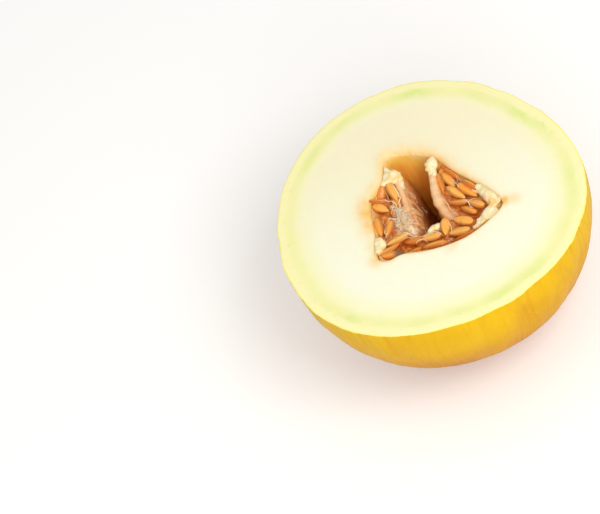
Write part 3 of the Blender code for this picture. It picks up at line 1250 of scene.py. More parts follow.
@dataclass(frozen=True)
class SeedRow:
    """Seeds in a line across the cut plane, as the cluster's solid has them, in millimetres and degrees."""

    start: tuple[float, float]
    end: tuple[float, float]
    count: int
    drop: float
    heading: float
    dip: float
    roll: float
    length: float = 11.4

    def seeds(self, chance: random.Random) -> list[Seed]:
        """The row's seeds, each a little out of line.

        Args:
            chance: Where the slips come from.

        Returns:
            The seeds.
        """
        made = []
        for i in range(self.count):
            x, y = Vector(self.start).lerp(Vector(self.end), i / (self.count - 1))
            slips = [chance.uniform(-0.5, 0.5) for _ in range(3)]
            turns = [chance.uniform(-9, 9) for _ in range(3)]
            made.append(
                Seed(
                    x + slips[0],
                    y + slips[1],
                    self.drop + slips[2],
                    self.heading + turns[0],
                    self.dip + turns[1],
                    self.roll + turns[2],
                    self.length,
                    chance.uniform(0.1, 0.6),
                )
            )
        return made


@dataclass(frozen=True)
class Seed:
    """One seed: place, drop and length in millimetres, and turns in degrees."""

    x: float
    y: float
    drop: float
    heading: float
    dip: float
    roll: float
    length: float
    tone: float
    burnt: float = 0.0


@dataclass(frozen=True)
class Ridge:
    """A swelling of the pulp along a line: places, drops and radii in millimetres."""

    line: tuple[tuple[float, float, float, float], ...]
    skin: Skin = Skin.CREAM


@dataclass(frozen=True)
class Tuft:
    """A patch of fibres: place, reach, number, length, how pale they are and how far they lift.

    All lengths are in millimetres.
    """

    place: tuple[float, float]
    reach: float
    count: int
    length: float
    tone: float
    lift: float


@dataclass(frozen=True)
class Thread:
    """One thick strand laid along places in millimetres, with its radius and how pale it is."""

    line: tuple[tuple[float, float], ...]
    radius: float
    tone: float


@dataclass(frozen=True)
class SeedForm:
    """The shape of a melon seed: a plump flat drop with a raised margin."""

    length: float = 11.4 * MM
    width: float = 5.4 * MM
    thickness: float = 2.7 * MM
    stations: int = 20
    around: int = 22
    tip_power: float = 0.7
    blunt_power: float = 0.45
    flatness: float = 0.75
    fullness: float = 0.8
    groove_place: float = 0.82
    groove_width: float = 0.09
    groove_depth: float = 0.22
    margin: tuple[float, float] = (0.6, 0.96)

    def outline(self, share: float) -> float:
        """How wide the seed is at one place.

        Args:
            share: How far from the tip, as a share of the length.

        Returns:
            The width, as a share of the widest.
        """
        full = self.tip_power / (self.tip_power + self.blunt_power)
        most = full**self.tip_power * (1 - full) ** self.blunt_power
        return share**self.tip_power * (1 - share) ** self.blunt_power / most

    def points(self, bend: float, plump: float) -> tuple[np.ndarray, np.ndarray]:
        """The seed's points, and how near each lies to the margin.

        Args:
            bend: How far the seed's middle bows out of its plane.
            plump: Its thickness, as a share of the usual one.

        Returns:
            The points with the tip at +X, and for each point its nearness to the margin.
        """
        rows, margin = [], []
        for k in range(1, self.stations):
            share = 0.5 - 0.5 * math.cos(math.pi * k / self.stations)
            half = self.outline(share)
            for j in range(self.around):
                turn = math.tau * j / self.around
                side = math.cos(turn)
                flat = abs(math.sin(turn)) ** self.flatness * math.copysign(1, math.sin(turn))
                off = (abs(side) - self.groove_place) / self.groove_width
                groove = 1 - self.groove_depth * math.exp(-(off**2))
                body = self.thickness / 2 * plump * half**self.fullness * flat * groove
                arch = bend * math.sin(math.pi * share)
                rows.append((self.length * (0.5 - share), self.width / 2 * half * side, body + arch))
                margin.append(ease(*self.margin, abs(side)))
        rows += [(self.length / 2, 0, 0), (-self.length / 2, 0, 0)]
        margin += [1.0, 1.0]
        return np.array(rows), np.array(margin)

    def faces(self) -> Faces:
        """Joins the seed's points.

        Returns:
            The faces of one seed, as point numbers.
        """
        rings = self.stations - 1
        made = ring_faces(rings, self.around)
        made += cap_faces(0, self.around, rings * self.around)
        made += cap_faces((rings - 1) * self.around, self.around, rings * self.around + 1)
        return made


@dataclass(frozen=True)
class PulpForm:
    """How soft pulp swells and folds, and how it meets the cavity's wall.

    A pair gives where something starts and where it is full. Drops are counted down from the cut.
    """

    seeds_drop: float = 6.2 * MM
    back_slope: float = 2.0
    weld: float = 0.01 * MM
    ball_spacing: float = 0.9 * MM
    ball_grain: float = 2.6 * MM
    ball_wobble: float = 0.3
    voxel: float = 0.55 * MM
    soften_passes: int = 5
    soften_share: float = 0.5
    border: tuple[float, float] = (0.4 * MM, 1.3 * MM)
    border_wander: float = 0.7 * MM
    border_grain: float = 1.9 * MM
    lining_border: tuple[float, float] = (0.8 * MM, 2.2 * MM)
    knobs: float = 0.55 * MM
    knob_grain: float = 2.3 * MM
    crumbs: float = 0.3 * MM
    crumb_grain: float = 0.9 * MM
    fold_depth: float = 1.8 * MM
    fold_spacing: float = 2.6 * MM
    fold_length: float = 12 * MM
    thread_length: float = 8 * MM
    fold_drop: tuple[float, float] = (4 * MM, 12 * MM)
    creep_drop: tuple[float, float] = (6 * MM, 10 * MM)
    press_drop: tuple[float, float] = (7 * MM, 12 * MM)
    press_reach: tuple[float, float] = (1 * MM, 3 * MM)
    overlap: float = 0.3 * MM
    lip_drop: float = 0.9 * MM


@dataclass(frozen=True)
class FibreForm:
    """How fibres lie: tufts draped over the pulp, threads laid on it, strings down the hollow's wall.

    A sight is how far over the cut the search for the ground starts, and how far down it looks.
    A string's start, drop and length are ranges in millimetres.
    """

    radius: float = 0.11 * MM
    tuft_girth: tuple[float, float] = (0.7, 1.8)
    string_girth: tuple[float, float] = (2.2, 4.4)
    step: float = 0.4 * MM
    fewest_points: int = 5
    over_cut: float = 0.5 * MM
    tuft_curl: float = 380.0
    tuft_sight: tuple[float, float] = (5 * MM, 22 * MM)
    tuft_fall: float = 2.5 * MM
    tuft_passes: int = 10
    thread_sway: float = 0.6
    thread_wave: float = 2.5
    thread_sight: tuple[float, float] = (3 * MM, 12 * MM)
    thread_passes: int = 16
    string_start: tuple[float, float] = (-8, 22)
    string_drop: tuple[float, float] = (4.5, 9)
    string_length: tuple[float, float] = (8, 22)
    string_sway: float = 2.2 * MM
    string_wave: float = 4.5 * MM
    string_lean: float = 0.15
    string_sight: tuple[float, float] = (3 * MM, 14 * MM)
    string_lift: float = 0.1 * MM


@dataclass
class SeedCluster:
    """One mass of pulp: its seeds, the pulp round them and the fibres over them."""

    side: Side
    shown: Sequence[Seed]
    buried: Sequence[SeedRow]
    ridges: Sequence[Ridge]
    tufts: Sequence[Tuft]
    threads: Sequence[Thread]
    seed: int
    shape: MelonShape
    strings: int = 0
    creep: float = 3.2 * MM
    creep_reach: float = 4.4 * MM
    back_end: float = 40 * MM
    form: SeedForm = field(default_factory=SeedForm)
    soft: PulpForm = field(default_factory=PulpForm)
    hairs: FibreForm = field(default_factory=FibreForm)

    def piece_name(self, what: str) -> str:
        """The name of one of the cluster's pieces."""
        return f"{self.side.name.lower()}_{what}"

    def under_cut(self, x: float, y: float, drop: float) -> Vector:
        """The point at a place and drop given in millimetres."""
        return Vector((x * MM, y * MM, self.shape.cut_height() - drop * MM))

    def stretches(self, ridge: Ridge) -> Iterator[tuple[Vector, Vector, float, float]]:
        """Parts a ridge into its straight stretches.

        Args:
            ridge: The ridge.

        Yields:
            Both ends of a stretch, and how far the ridge reaches round each, in millimetres.
        """
        for start, end in zip(ridge.line, ridge.line[1:]):
            yield self.under_cut(*start[:3]), self.under_cut(*end[:3]), start[3], end[3]

    def grow_seeds(self) -> bpy.types.Object:
        """Builds the cluster's seeds in one mesh.

        Returns:
            The seeds' object.
        """
        chance = random.Random(self.seed)
        every = list(self.shown)
        for row in self.buried:
            every += row.seeds(chance)
        points, tones, margins, burns = [], [], [], []
        faces: Faces = []
        count = 0
        for one in every:
            turns = [math.radians(a) for a in (one.heading, one.dip, one.roll)]
            turn = Matrix.Rotation(turns[0], 3, "Z") @ Matrix.Rotation(turns[1], 3, "Y")
            turn = turn @ Matrix.Rotation(turns[2], 3, "X")
            rows, margin = self.form.points(chance.uniform(-0.3, 0.3) * MM, chance.uniform(0.9, 1.1))
            stretch = one.length * MM / self.form.length
            along = 0.5 + rows[:, 0] / self.form.length
            rows *= (stretch, math.sqrt(stretch), math.sqrt(stretch))
            faces += [[n + count for n in f] for f in self.form.faces()]
            points.append(rows @ np.array(turn).T + np.array(self.under_cut(one.x, one.y, one.drop)))
            margins.append(margin)
            tones.append(np.full(len(rows), one.tone + chance.uniform(-0.12, 0.12)))
            burns.append([one.burnt * ease(0.45, 0.75, share) for share in along])
            count += len(rows)
        made = mesh_object(self.piece_name("seeds"), np.concatenate(points), faces)
        store(made, "tone", np.concatenate(tones))
        store(made, "margin", np.concatenate(margins))
        store(made, "burnt", np.concatenate(burns))
        made.data.materials.append(SeedFinish().make())
        turn_outwards(made)
        return made

    def ridge_balls(self, ridge: Ridge) -> Iterator[tuple[Vector, float]]:
        """Fills a ridge closely with balls.

        Args:
            ridge: The ridge.

        Yields:
            A ball's centre and radius.
        """
        for first, last, thick, thin in self.stretches(ridge):
            steps = max(2, math.ceil((last - first).length / self.soft.ball_spacing))
            for k in range(steps + 1):
                yield first.lerp(last, k / steps), (thick + (thin - thick) * k / steps) * MM

    def raw_pulp(self) -> bpy.types.Object:
        """Joins the cluster's solid, levelled under its seeds, with the ridges into one soft skin.

        Returns:
            The pulp's object.
        """
        work = bmesh.new()
        work.from_mesh(bpy.data.objects[self.side.value].data)
        bmesh.ops.remove_doubles(work, verts=work.verts, dist=self.soft.weld)
        level = self.shape.cut_height() - self.soft.seeds_drop
        for vertex in work.verts:
            fall = self.soft.back_slope * max(0.0, vertex.co.y - self.back_end)
            vertex.co.z = min(vertex.co.z, level - fall)
        for ridge in self.ridges:
            for centre, radius in self.ridge_balls(ridge):
                size = radius * (1 + self.soft.ball_wobble * noise.noise(centre / self.soft.ball_grain))
                place = Matrix.Translation(centre)
                bmesh.ops.create_icosphere(work, subdivisions=2, radius=size, matrix=place)
        mesh = bpy.data.meshes.new("raw")
        work.to_mesh(mesh)
        work.free()
        made = add_object(self.piece_name("pulp"), mesh)
        skin = made.modifiers.new("skin", "REMESH")
        skin.mode = "VOXEL"
        skin.voxel_size = self.soft.voxel
        soften = made.modifiers.new("soften", "SMOOTH")
        soften.iterations = self.soft.soften_passes
        soften.factor = self.soft.soften_share
        state = bpy.context.evaluated_depsgraph_get()
        smooth = bpy.data.meshes.new_from_object(made.evaluated_get(state))
        made.modifiers.clear()
        made.data = smooth
        return made

    def ridge_share(self, points: np.ndarray, skin: Skin) -> np.ndarray:
        """How much the ridges with one skin cover points of the pulp.

        Args:
            points: The points, one row each.
            skin: The skin to look for.

        Returns:
            For each point, 1 on such a ridge and 0 well away from all of them.
        """
        nearest = np.full(len(points), 1.0)
        for ridge in self.ridges:
            if ridge.skin is not skin:
                continue
            for first, last, thick, thin in self.stretches(ridge):
                gap, along = segment_gap(points, np.array(first), np.array(last))
                nearest = np.minimum(nearest, gap - (thick + (thin - thick) * along) * MM)
        wander, grain = self.soft.border_wander, self.soft.border_grain
        wobble = [wander * noise.noise(Vector(p) / grain) for p in points]
        return np.array([1 - ease(*self.soft.border, n) for n in nearest + wobble])

    def wall_gap(self, points: np.ndarray) -> np.ndarray:
        """How far in points lie from the cavity's wall, seen from above."""
        away = points[:, :2] - np.array(self.shape.cavity_centre)
        return self.shape.mouth_reach(np.arctan2(away[:, 1], away[:, 0])) - np.hypot(*away.T)

    def fold(self, point: Vector) -> float:
        """How much a point lies on one of the thin upright folds of the hollow's wall.

        Args:
            point: The point.

        Returns:
            A share from 0 to 1.
        """
        along = (point.x if self.side is Side.FRONT else point.y) / self.soft.fold_spacing
        wave = noise.noise(Vector((along, 4, point.z / self.soft.fold_length)))
        thread = noise.noise(Vector((along * 2.6, 9, point.z / self.soft.thread_length)))
        return min(1.0, max(0.0, 1 - 2.1 * abs(wave)) + 0.4 * max(0.0, 0.5 - 2 * abs(thread)))

    def pulp(self) -> bpy.types.Object:
        """Builds the soft pulp, and moves its points to give it knobs, folds and a raised rim.

        Returns:
            The pulp's object.
        """
        soft = self.soft
        made = self.raw_pulp()
        mesh = made.data
        places = np.array([v.co for v in mesh.vertices])
        normals = np.array([v.normal for v in mesh.vertices])
        cream = self.ridge_share(places, Skin.CREAM)
        fluff = self.ridge_share(places, Skin.FLUFF) * (1 - cream)
        lining = np.array([1 - ease(*soft.lining_border, gap) for gap in self.shape.hollow_gap(places)])
        lining = np.maximum(lining, self.ridge_share(places, Skin.LINING)) * (1 - cream)
        wall = self.wall_gap(places)
        moved, folds, edges = [], [], []
        for place, normal, crust, smooth, near in zip(places, normals, cream, lining, wall):
            point = Vector(place)
            steep = 1 - ease(0.25, 0.7, abs(normal[2]))
            outer = steep * (1 - ease(0.1, 0.5, smooth)) * (1 - crust)
            lump = noise.fractal(point / soft.knob_grain, 0.9, 2.1, 3)
            fold = self.fold(point)
            crumb = noise.noise(point / soft.crumb_grain)
            shift = soft.knobs * lump * (1 - 0.75 * smooth) * (1 - outer)
            down = self.shape.cut_height() - point.z
            shift += soft.fold_depth * (fold - 0.5) * smooth * steep * ease(*soft.fold_drop, down)
            shift += soft.crumbs * crumb * crust
            # edge also marks the pulp's lighter peach rim by the wall: partly its own stain, partly painted
            # light over the wall's shadow.
            edge = (1 - ease(*soft.creep_drop, down)) * (1 - ease(0.0, self.creep_reach, near))
            rise = max(0.0, min(self.creep * edge * (1 - smooth), down - soft.lip_drop))
            edge *= (1 - smooth) * (1 - crust)
            press = (near + soft.overlap) * (1 - ease(*soft.press_reach, near))
            press *= (1 - ease(*soft.press_drop, down)) * (1 - smooth)
            away = (point.to_2d() - Vector(self.shape.cavity_centre)).normalized() * press
            moved.append(point + Vector(normal) * shift * (1 - outer) + away.to_3d())
            moved[-1].z += rise
            folds.append(fold)
            edges.append(edge)
        mesh.vertices.foreach_set("co", np.array(moved, np.float32).ravel())
        store(made, Skin.CREAM.value, cream)
        store(made, Skin.FLUFF.value, fluff)
        store(made, Skin.LINING.value, lining * (1 - fluff))
        store(made, "fold", folds)
        store(made, "rim", edges)
        mesh.shade_smooth()
        mesh.update()
        mesh.materials.clear()
        mesh.materials.append(PulpFinish().make())
        return made

    def fibres(self, ground: BVHTree) -> bpy.types.Object:
        """Lays tufts of thin fibres over the seeds and the pulp, and strings down the hollow's wall.

        Args:
            ground: The surfaces that the fibres lie on.

        Returns:
            The fibres' object.
        """
        chance = random.Random(self.seed + 200)
        lines: list[tuple[list[Vector], float, float]] = []
        for thread in self.threads:
            lines.append((self.lay(ground, thread), thread.radius * MM, thread.tone))
        for tuft in self.tufts:
            for _ in range(tuft.count):
                line = self.drape(ground, tuft, chance)
                thick = self.hairs.radius * chance.uniform(*self.hairs.tuft_girth)
                lines.append((line, thick, tuft.tone + chance.uniform(-0.2, 0.2)))
        for _ in range(self.strings):
            line = self.hang(ground, chance)
            thick = self.hairs.radius * chance.uniform(*self.hairs.string_girth)
            lines.append((line, thick, chance.uniform(-0.2, 0.4)))
        rows: list[np.ndarray] = []
        tones: list[np.ndarray] = []
        faces: Faces = []
        for line, thick, tone in lines:
            if len(line) < self.hairs.fewest_points:
                continue
            tube, skin = fibre_tube(line, thick, sum(len(r) for r in rows))
            rows.append(tube)
            tones.append(np.full(len(tube), tone))
            faces += skin
        made = mesh_object(self.piece_name("fibres"), np.concatenate(rows), faces)
        store(made, "tone", np.concatenate(tones))
        made.data.materials.append(FibreFinish().make())
        turn_outwards(made)
        return made

    def drape(self, ground: BVHTree, tuft: Tuft, chance: random.Random) -> list[Vector]:
        """Finds the line of one fibre of a tuft, which lies on what is under it and curls off it.

        Args:
            ground: The surfaces under the fibre.
            tuft: The patch that it belongs to.
            chance: Where its start, heading and curl come from.

        Returns:
            The line's points, as far as there is something near under it.
        """
        hairs = self.hairs
        away = Vector((chance.gauss(0, 0.5), chance.gauss(0, 0.5))) * tuft.reach
        spot = (Vector(tuft.place) + away) * MM
        heading = chance.uniform(0, math.tau)
        curl = chance.uniform(-1, 1) * hairs.tuft_curl
        wave = chance.uniform(0, 50)
        steps = int(tuft.length * chance.uniform(0.6, 1.3) * MM / hairs.step)
        above = self.shape.cut_height() + hairs.tuft_sight[0]
        path: list[Vector] = []
        for i in range(steps):
            hit = ground.ray_cast(Vector((*spot, above)), DOWN, hairs.tuft_sight[1])
            if hit[0] is None or (path and abs(hit[0].z - path[-1].z) > hairs.tuft_fall):
                break
            path.append(hit[0])
            heading += curl * hairs.step + 0.7 * noise.noise(Vector((i * 0.35, wave, 0)))
            spot = spot + Vector((math.cos(heading), math.sin(heading))) * hairs.step
        heights = [p.z for p in path]
        for _ in range(hairs.tuft_passes):
            for i in range(1, len(path) - 1):
                heights[i] = max(path[i].z, (heights[i - 1] + heights[i + 1]) / 2)
        top = self.shape.cut_height() + hairs.over_cut
        made = []
        for i, (point, height) in enumerate(zip(path, heights)):
            float_up = tuft.lift * MM * (0.5 + noise.noise(Vector((i * 0.3, 7, wave))))
            made.append(Vector((point.x, point.y, min(height + max(0.0, float_up), top))))
        return made

    def lay(self, ground: BVHTree, thread: Thread) -> list[Vector]:
        """Finds the line of one thread, which bridges the gaps between what it lies on.

        Args:
            ground: The surfaces under it.
            thread: Its places and size.

        Returns:
            The line's points.
        """
        hairs = self.hairs
        places = np.array(thread.line)
        lengths = np.hypot(*np.diff(places, axis=0).T)
        marks = np.concatenate([[0.0], np.cumsum(lengths)])
        path: list[Vector] = []
        for step in np.arange(0, marks[-1], hairs.step / MM):
            x, y = (np.interp(step, marks, places[:, i]) for i in range(2))
            sway = [noise.noise(Vector((x / hairs.thread_wave, y / hairs.thread_wave, k))) for k in (3, 8)]
            spot = Vector((x + hairs.thread_sway * sway[0], y + hairs.thread_sway * sway[1], 0)) * MM
            spot.z = self.shape.cut_height() + hairs.thread_sight[0]
            hit = ground.ray_cast(spot, DOWN, hairs.thread_sight[1])
            if hit[0] is not None:
                path.append(hit[0] + Vector((0, 0, 0.5 * thread.radius * MM)))
        for _ in range(hairs.thread_passes):
            for i in range(1, len(path) - 1):
                path[i].z = max(path[i].z, (path[i - 1].z + path[i + 1].z) / 2)
        return path

    def hang(self, ground: BVHTree, chance: random.Random) -> list[Vector]:
        """Finds the line of one wavy string down the left wall of the hollow.

        Args:
            ground: The surfaces that it lies on.
            chance: Where its start and waves come from.

        Returns:
            The line's points.
        """
        hairs = self.hairs
        y = chance.uniform(*hairs.string_start) * MM
        first = chance.uniform(*hairs.string_drop) * MM
        last = first + chance.uniform(*hairs.string_length) * MM
        wave = chance.uniform(0, 50)
        x = self.shape.hollow_middle[0] + hairs.string_sight[0]
        path = []
        for i in range(int((last - first) / hairs.step)):
            down = first + i * hairs.step
            slip = hairs.string_sway * noise.noise(Vector((down / hairs.string_wave, wave, 0)))
            start = Vector((x, y + slip - hairs.string_lean * down, self.shape.cut_height() - down))
            hit = ground.ray_cast(start, LEFT, hairs.string_sight[1])
            if hit[0] is not None:
                path.append(hit[0] + Vector((hairs.string_lift, 0, 0)))
        return path


def fibre_tube(line: Sequence[Vector], radius: float, first: int, sides: int = 6) -> tuple[np.ndarray, Faces]:
    """A thin closed tube that tapers at both ends.

    Args:
        line: The points that it follows.
        radius: Its radius in the middle.
        first: The number of its first point.
        sides: How many sides it has.

    Returns:
        The tube's points and its faces.
    """
    rows = []
    side = Vector((0.3, 0.2, 1))  # any direction off the line
    for i, point in enumerate(line):
        ahead = (line[min(i + 1, len(line) - 1)] - line[max(i - 1, 0)]).normalized()
        side = (side - ahead * side.dot(ahead)).normalized()
        across = ahead.cross(side)
        share = i / (len(line) - 1)
        size = radius * (0.3 + 0.7 * math.sin(math.pi * share) ** 0.5)
        for k in range(sides):
            turn = math.tau * k / sides
            rows.append(point + side * size * math.cos(turn) + across * size * math.sin(turn))
    rows += [line[0], line[-1]]
    faces = ring_faces(len(line), sides, first)
    faces += cap_faces(first, sides, first + len(rows) - 2)
    faces += cap_faces(first + (len(line) - 1) * sides, sides, first + len(rows) - 1)
    return np.array(rows), faces


def left_cluster(shape: MelonShape) -> SeedCluster:
    """The mass of pulp on the left, with a fluffy inner side.

    Args:
        shape: The melon's shape.

    Returns:
        The cluster.
    """
    return SeedCluster(
        side=Side.LEFT,
        shown=(
            Seed(-20.9, 18.2, 3.6, 57, -28, 30, 8.6, 0.4),
            Seed(-15.2, 15.8, 3.0, -76, 4, -34, 12.2, 0.65),
            Seed(-23.7, 13.2, 2.6, -24, 4, -50, 9.6, 0.4),
            Seed(-22.5, 9.0, 3.2, -41, 2, 6, 9.4, 0.75),
            Seed(-25.1, -2.0, 3.2, -85, 2, 37, 11.2, 0.6),
            Seed(-20.4, -3.9, 3.4, -114, 4, 24, 10, 0.75),
        ),
        buried=(
            SeedRow((-18, 21), (-15, 8), 2, 5.6, -90, 34, 24),
            SeedRow((-20, 1.5), (-14.5, 2.5), 2, 6.2, -50, 18, 40),
            SeedRow((-22, 8.5), (-21.5, -7.5), 3, 8.5, -80, 35, 60),
        ),
        ridges=(
            Ridge(((-15.8, 28.2, 3.2, 1.7), (-13.8, 27.8, 3.0, 1.8), (-11.4, 26.2, 3.2, 1.5))),
            Ridge(((-12, 26, 3.0, 1.8), (-13.6, 25.4, 2.6, 2.5), (-14.6, 24, 2.8, 2.8))),
            Ridge(((-15.6, 27, 3.0, 1.9), (-16.4, 25, 3.2, 2.2))),
            Ridge(((-11.2, 26, 3.2, 1.4), (-10.2, 22.6, 3.8, 1.1), (-9.8, 19, 4.4, 0.9))),
            Ridge(((-14.4, 24.4, 2.8, 2.8), (-17.2, 23, 3.6, 2.2), (-18.2, 21, 4.2, 1.5))),
            Ridge(((-12.4, 23, 4.4, 1.9), (-11.2, 14, 5.4, 1.9), (-10.4, 6, 6.6, 1.8)), Skin.LINING),
            Ridge(((-17, 8, 5.6, 2.0), (-14, 4, 5.2, 2.4), (-12.6, -1, 5.4, 2.6)), Skin.FLUFF),
            Ridge(((-12.6, -1, 5.4, 2.6), (-11.4, -5, 5.8, 2.6), (-9.6, -9, 6.4, 2.0)), Skin.FLUFF),
            Ridge(((-17, -0.5, 5.6, 1.8), (-15, -5, 5.8, 2.0)), Skin.FLUFF),
        ),
        tufts=(
            Tuft((-15.5, 5), 2.6, 24, 4.5, 0.7, 0.6),
            Tuft((-13.6, -0.5), 3.4, 60, 5, 0.75, 0.9),
            Tuft((-12, -5.5), 3.0, 36, 5, 0.55, 0.8),
            Tuft((-21, 4), 1.6, 3, 4, 0.3, 0.2),
            Tuft((-21.6, -8), 1.2, 6, 3.5, 0.5, 0.7),
        ),
        threads=(
            Thread(((-22, 12.6), (-20.2, 13.7), (-17.2, 12.2), (-15.2, 9), (-14, 5)), 0.34, 0.6),
            Thread(((-14.4, 21.6), (-13.2, 16.4), (-12.4, 12), (-13, 8), (-13.6, 4.6)), 0.34, 0.7),
            Thread(((-16.4, 10), (-15.8, 6.4), (-15, 2)), 0.26, 0.5),
            Thread(((-23, 2.5), (-22.4, -2), (-22.8, -6), (-22.2, -9)), 0.3, 0.5),
            Thread(((-18.8, 20.2), (-18.2, 16), (-19.2, 12.6)), 0.25, 0.4),
        ),
        strings=14,
        creep=4.6 * MM,
        back_end=26.5 * MM,
        seed=11,
        shape=shape,
    )


def right_cluster(shape: MelonShape) -> SeedCluster:
    """The mass of pulp on the right, with a smooth strip along the hollow and a cream hook at its end.

    Args:
        shape: The melon's shape.

    Returns:
        The cluster.
    """
    return SeedCluster(
        side=Side.RIGHT,
        shown=(
            Seed(8.7, 12.8, 4.0, -87, 14, 56, 11.4, 0.5),
            Seed(12.8, 12.9, 3.4, -67, 6, -23, 10.6, 0.7),
            Seed(15.2, 4.0, 3.0, -53, 5, -25, 11.8, 0.8),
            Seed(14.9, 15.9, 3.6, -53, 2, -64, 11.4, 0.45),
            Seed(23.4, 4.5, 3.0, -51, 10, -60, 12, 0.45),
            Seed(20.6, 3.7, 3.4, -52, 8, -22, 12.2, 0.7),
            Seed(15.0, -1.4, 3.7, 150, 14, 30, 10.4, 0.5),
            Seed(23.2, -5.7, 3.4, 134, 14, 26, 11, 0.7),
            Seed(19.0, -7.6, 3.9, 132, 10, 36, 10.6, 0.45),
        ),
        buried=(
            SeedRow((12, 7.5), (17.5, -0.5), 2, 6.0, -26, 8, 24),
            SeedRow((12, 17), (13.5, 21), 2, 5.4, -60, 10, 20),
            SeedRow((13.5, 13.5), (26, -7), 3, 8.5, -60, 30, 55),
        ),
        ridges=(
            Ridge(((4.4, 25.6, 3.0, 1.9), (6.6, 25, 2.8, 2.2), (8, 24, 3.4, 1.6))),
            Ridge(((4.6, 23.2, 2.8, 2.0), (6.4, 20.6, 3.6, 2.2))),
            Ridge(((5.4, 20, 4.4, 2.0), (5.0, 10, 5.0, 2.5)), Skin.LINING),
            Ridge(((5.0, 10, 5.0, 2.5), (5.8, 2, 5.8, 2.7), (8.6, -6, 6.6, 2.4)), Skin.LINING),
            Ridge(((23.4, 2.6, 4.0, 1.2), (26, 1.8, 3.2, 2.0), (29, -1.4, 3.0, 2.8))),
            Ridge(((29, -1.4, 3.0, 2.8), (31, -5.5, 3.2, 2.8), (32, -9.5, 3.4, 2.3))),
            Ridge(((32, -9.5, 3.4, 2.3), (30, -13.2, 3.2, 2.8), (26.8, -15.4, 3.4, 2.9))),
            Ridge(((26.8, -15.4, 3.4, 2.8), (23.4, -17.2, 3.8, 2.0), (20.4, -18.8, 4.2, 1.3))),
        ),
        tufts=(
            Tuft((16.2, 11), 1.2, 8, 4, 0.3, 0.9),
            Tuft((11, -7), 2.6, 9, 7, 0.5, 0.3),
            Tuft((19.5, -2), 1.6, 3, 4, 0.3, 0.2),
            Tuft((23.5, -12), 1.6, 5, 4, 0.6, 0.4),
        ),
        threads=(
            Thread(((8.3, 4.4), (10, -1), (12, -5.4), (13.6, -9)), 0.34, 0.35),
            Thread(((17.2, -0.6), (20, -4.4), (21.2, -8.4)), 0.26, 0.75),
            Thread(((8, -9), (12, -9.6), (15.4, -9.8), (18, -10.8)), 0.34, 0.6),
            Thread(((14.2, 12.6), (16.6, 8.6), (17.4, 5)), 0.26, 0.3),
            Thread(((19.6, -4), (22.6, -1.2), (25.4, -2.4)), 0.24, 0.5),
        ),
        seed=23,
        shape=shape,
    )


def front_cluster(shape: MelonShape) -> SeedCluster:
    """The low mass of pulp along the front.

    Args:
        shape: The melon's shape.

    Returns:
        The cluster.
    """
    return SeedCluster(
        side=Side.FRONT,
        shown=(
            Seed(15.5, -13.4, 3.2, 146, 9, 1, 11.6, 0.75),
            Seed(6.6, -13.8, 3.2, -99, 3, -16, 9.6, 0.7),
            Seed(12.7, -19.3, 3.0, 166, 12, 17, 11.6, 0.75),
            Seed(14.4, -21.4, 4.4, -176, 10, 60, 11, 0.45),
            Seed(-17.3, -12.6, 3.2, -169, 2, 22, 12, 0.85),
            Seed(-21.9, -16.6, 3.4, 16, -4, -34, 11.6, 0.6),
            Seed(-21.0, -20.2, 3.2, -3, 4, -16, 10.8, 0.5, 0.85),
            Seed(-1.4, -17.0, 3.4, 166, 12, 14, 11.4, 0.7),
            Seed(-10.5, -15.4, 4.0, 158, 14, 20, 11, 0.15),
            Seed(-0.2, -22.2, 3.6, 172, 4, 36, 12.4, 0.6),
        ),
        buried=(
            SeedRow((-12.5, -20.8), (8, -24), 3, 5.4, 176, 6, 34),
            SeedRow((20, -17.5), (9.5, -16.5), 2, 5.8, -172, 12, 40),
            SeedRow((-16, -17.5), (16, -19), 4, 9.0, -172, 18, 60),
        ),
        ridges=(
            Ridge(((-1.6, -13.6, 4.2, 1.4), (1.4, -12.4, 3.4, 1.8), (4.2, -11.4, 4, 1.3))),
            Ridge(((-25.4, -10.2, 3.8, 1.6), (-25.6, -13, 3.2, 2.3), (-26.2, -15.6, 4, 1.7))),
            Ridge(((-26.8, -17.4, 5.0, 1.9), (-26, -20.6, 5.0, 2.1), (-22, -22.4, 5.2, 1.7)), Skin.LINING),
        ),
        tufts=(
            Tuft((5.6, -19.6), 1.4, 10, 4, 0.4, 0.8),
            Tuft((-6.5, -13.5), 1.8, 4, 5, 0.4, 0.2),
        ),
        threads=(
            Thread(((-14, -9.8), (-10.2, -12.2), (-5.3, -13.4), (-2.6, -12)), 0.34, 0.6),
            Thread(((8.6, -11.5), (9.6, -16), (8.4, -19)), 0.28, 0.4),
            Thread(((-9, -18.4), (-5, -17.4), (-3, -19.6)), 0.26, 0.3),
            Thread(((-4.6, -15), (0, -14.8), (4.6, -17.8)), 0.26, 0.5),
        ),
        creep=4.4 * MM,
        creep_reach=5.6 * MM,
        seed=37,
        shape=shape,
    )


@dataclass(frozen=True)
class Softbox:
    """A large soft square light: its name, place, side, power in watts and colour."""

    name: str
    place: tuple[float, float, float]
    size: float
    watts: float
    tint: Tint


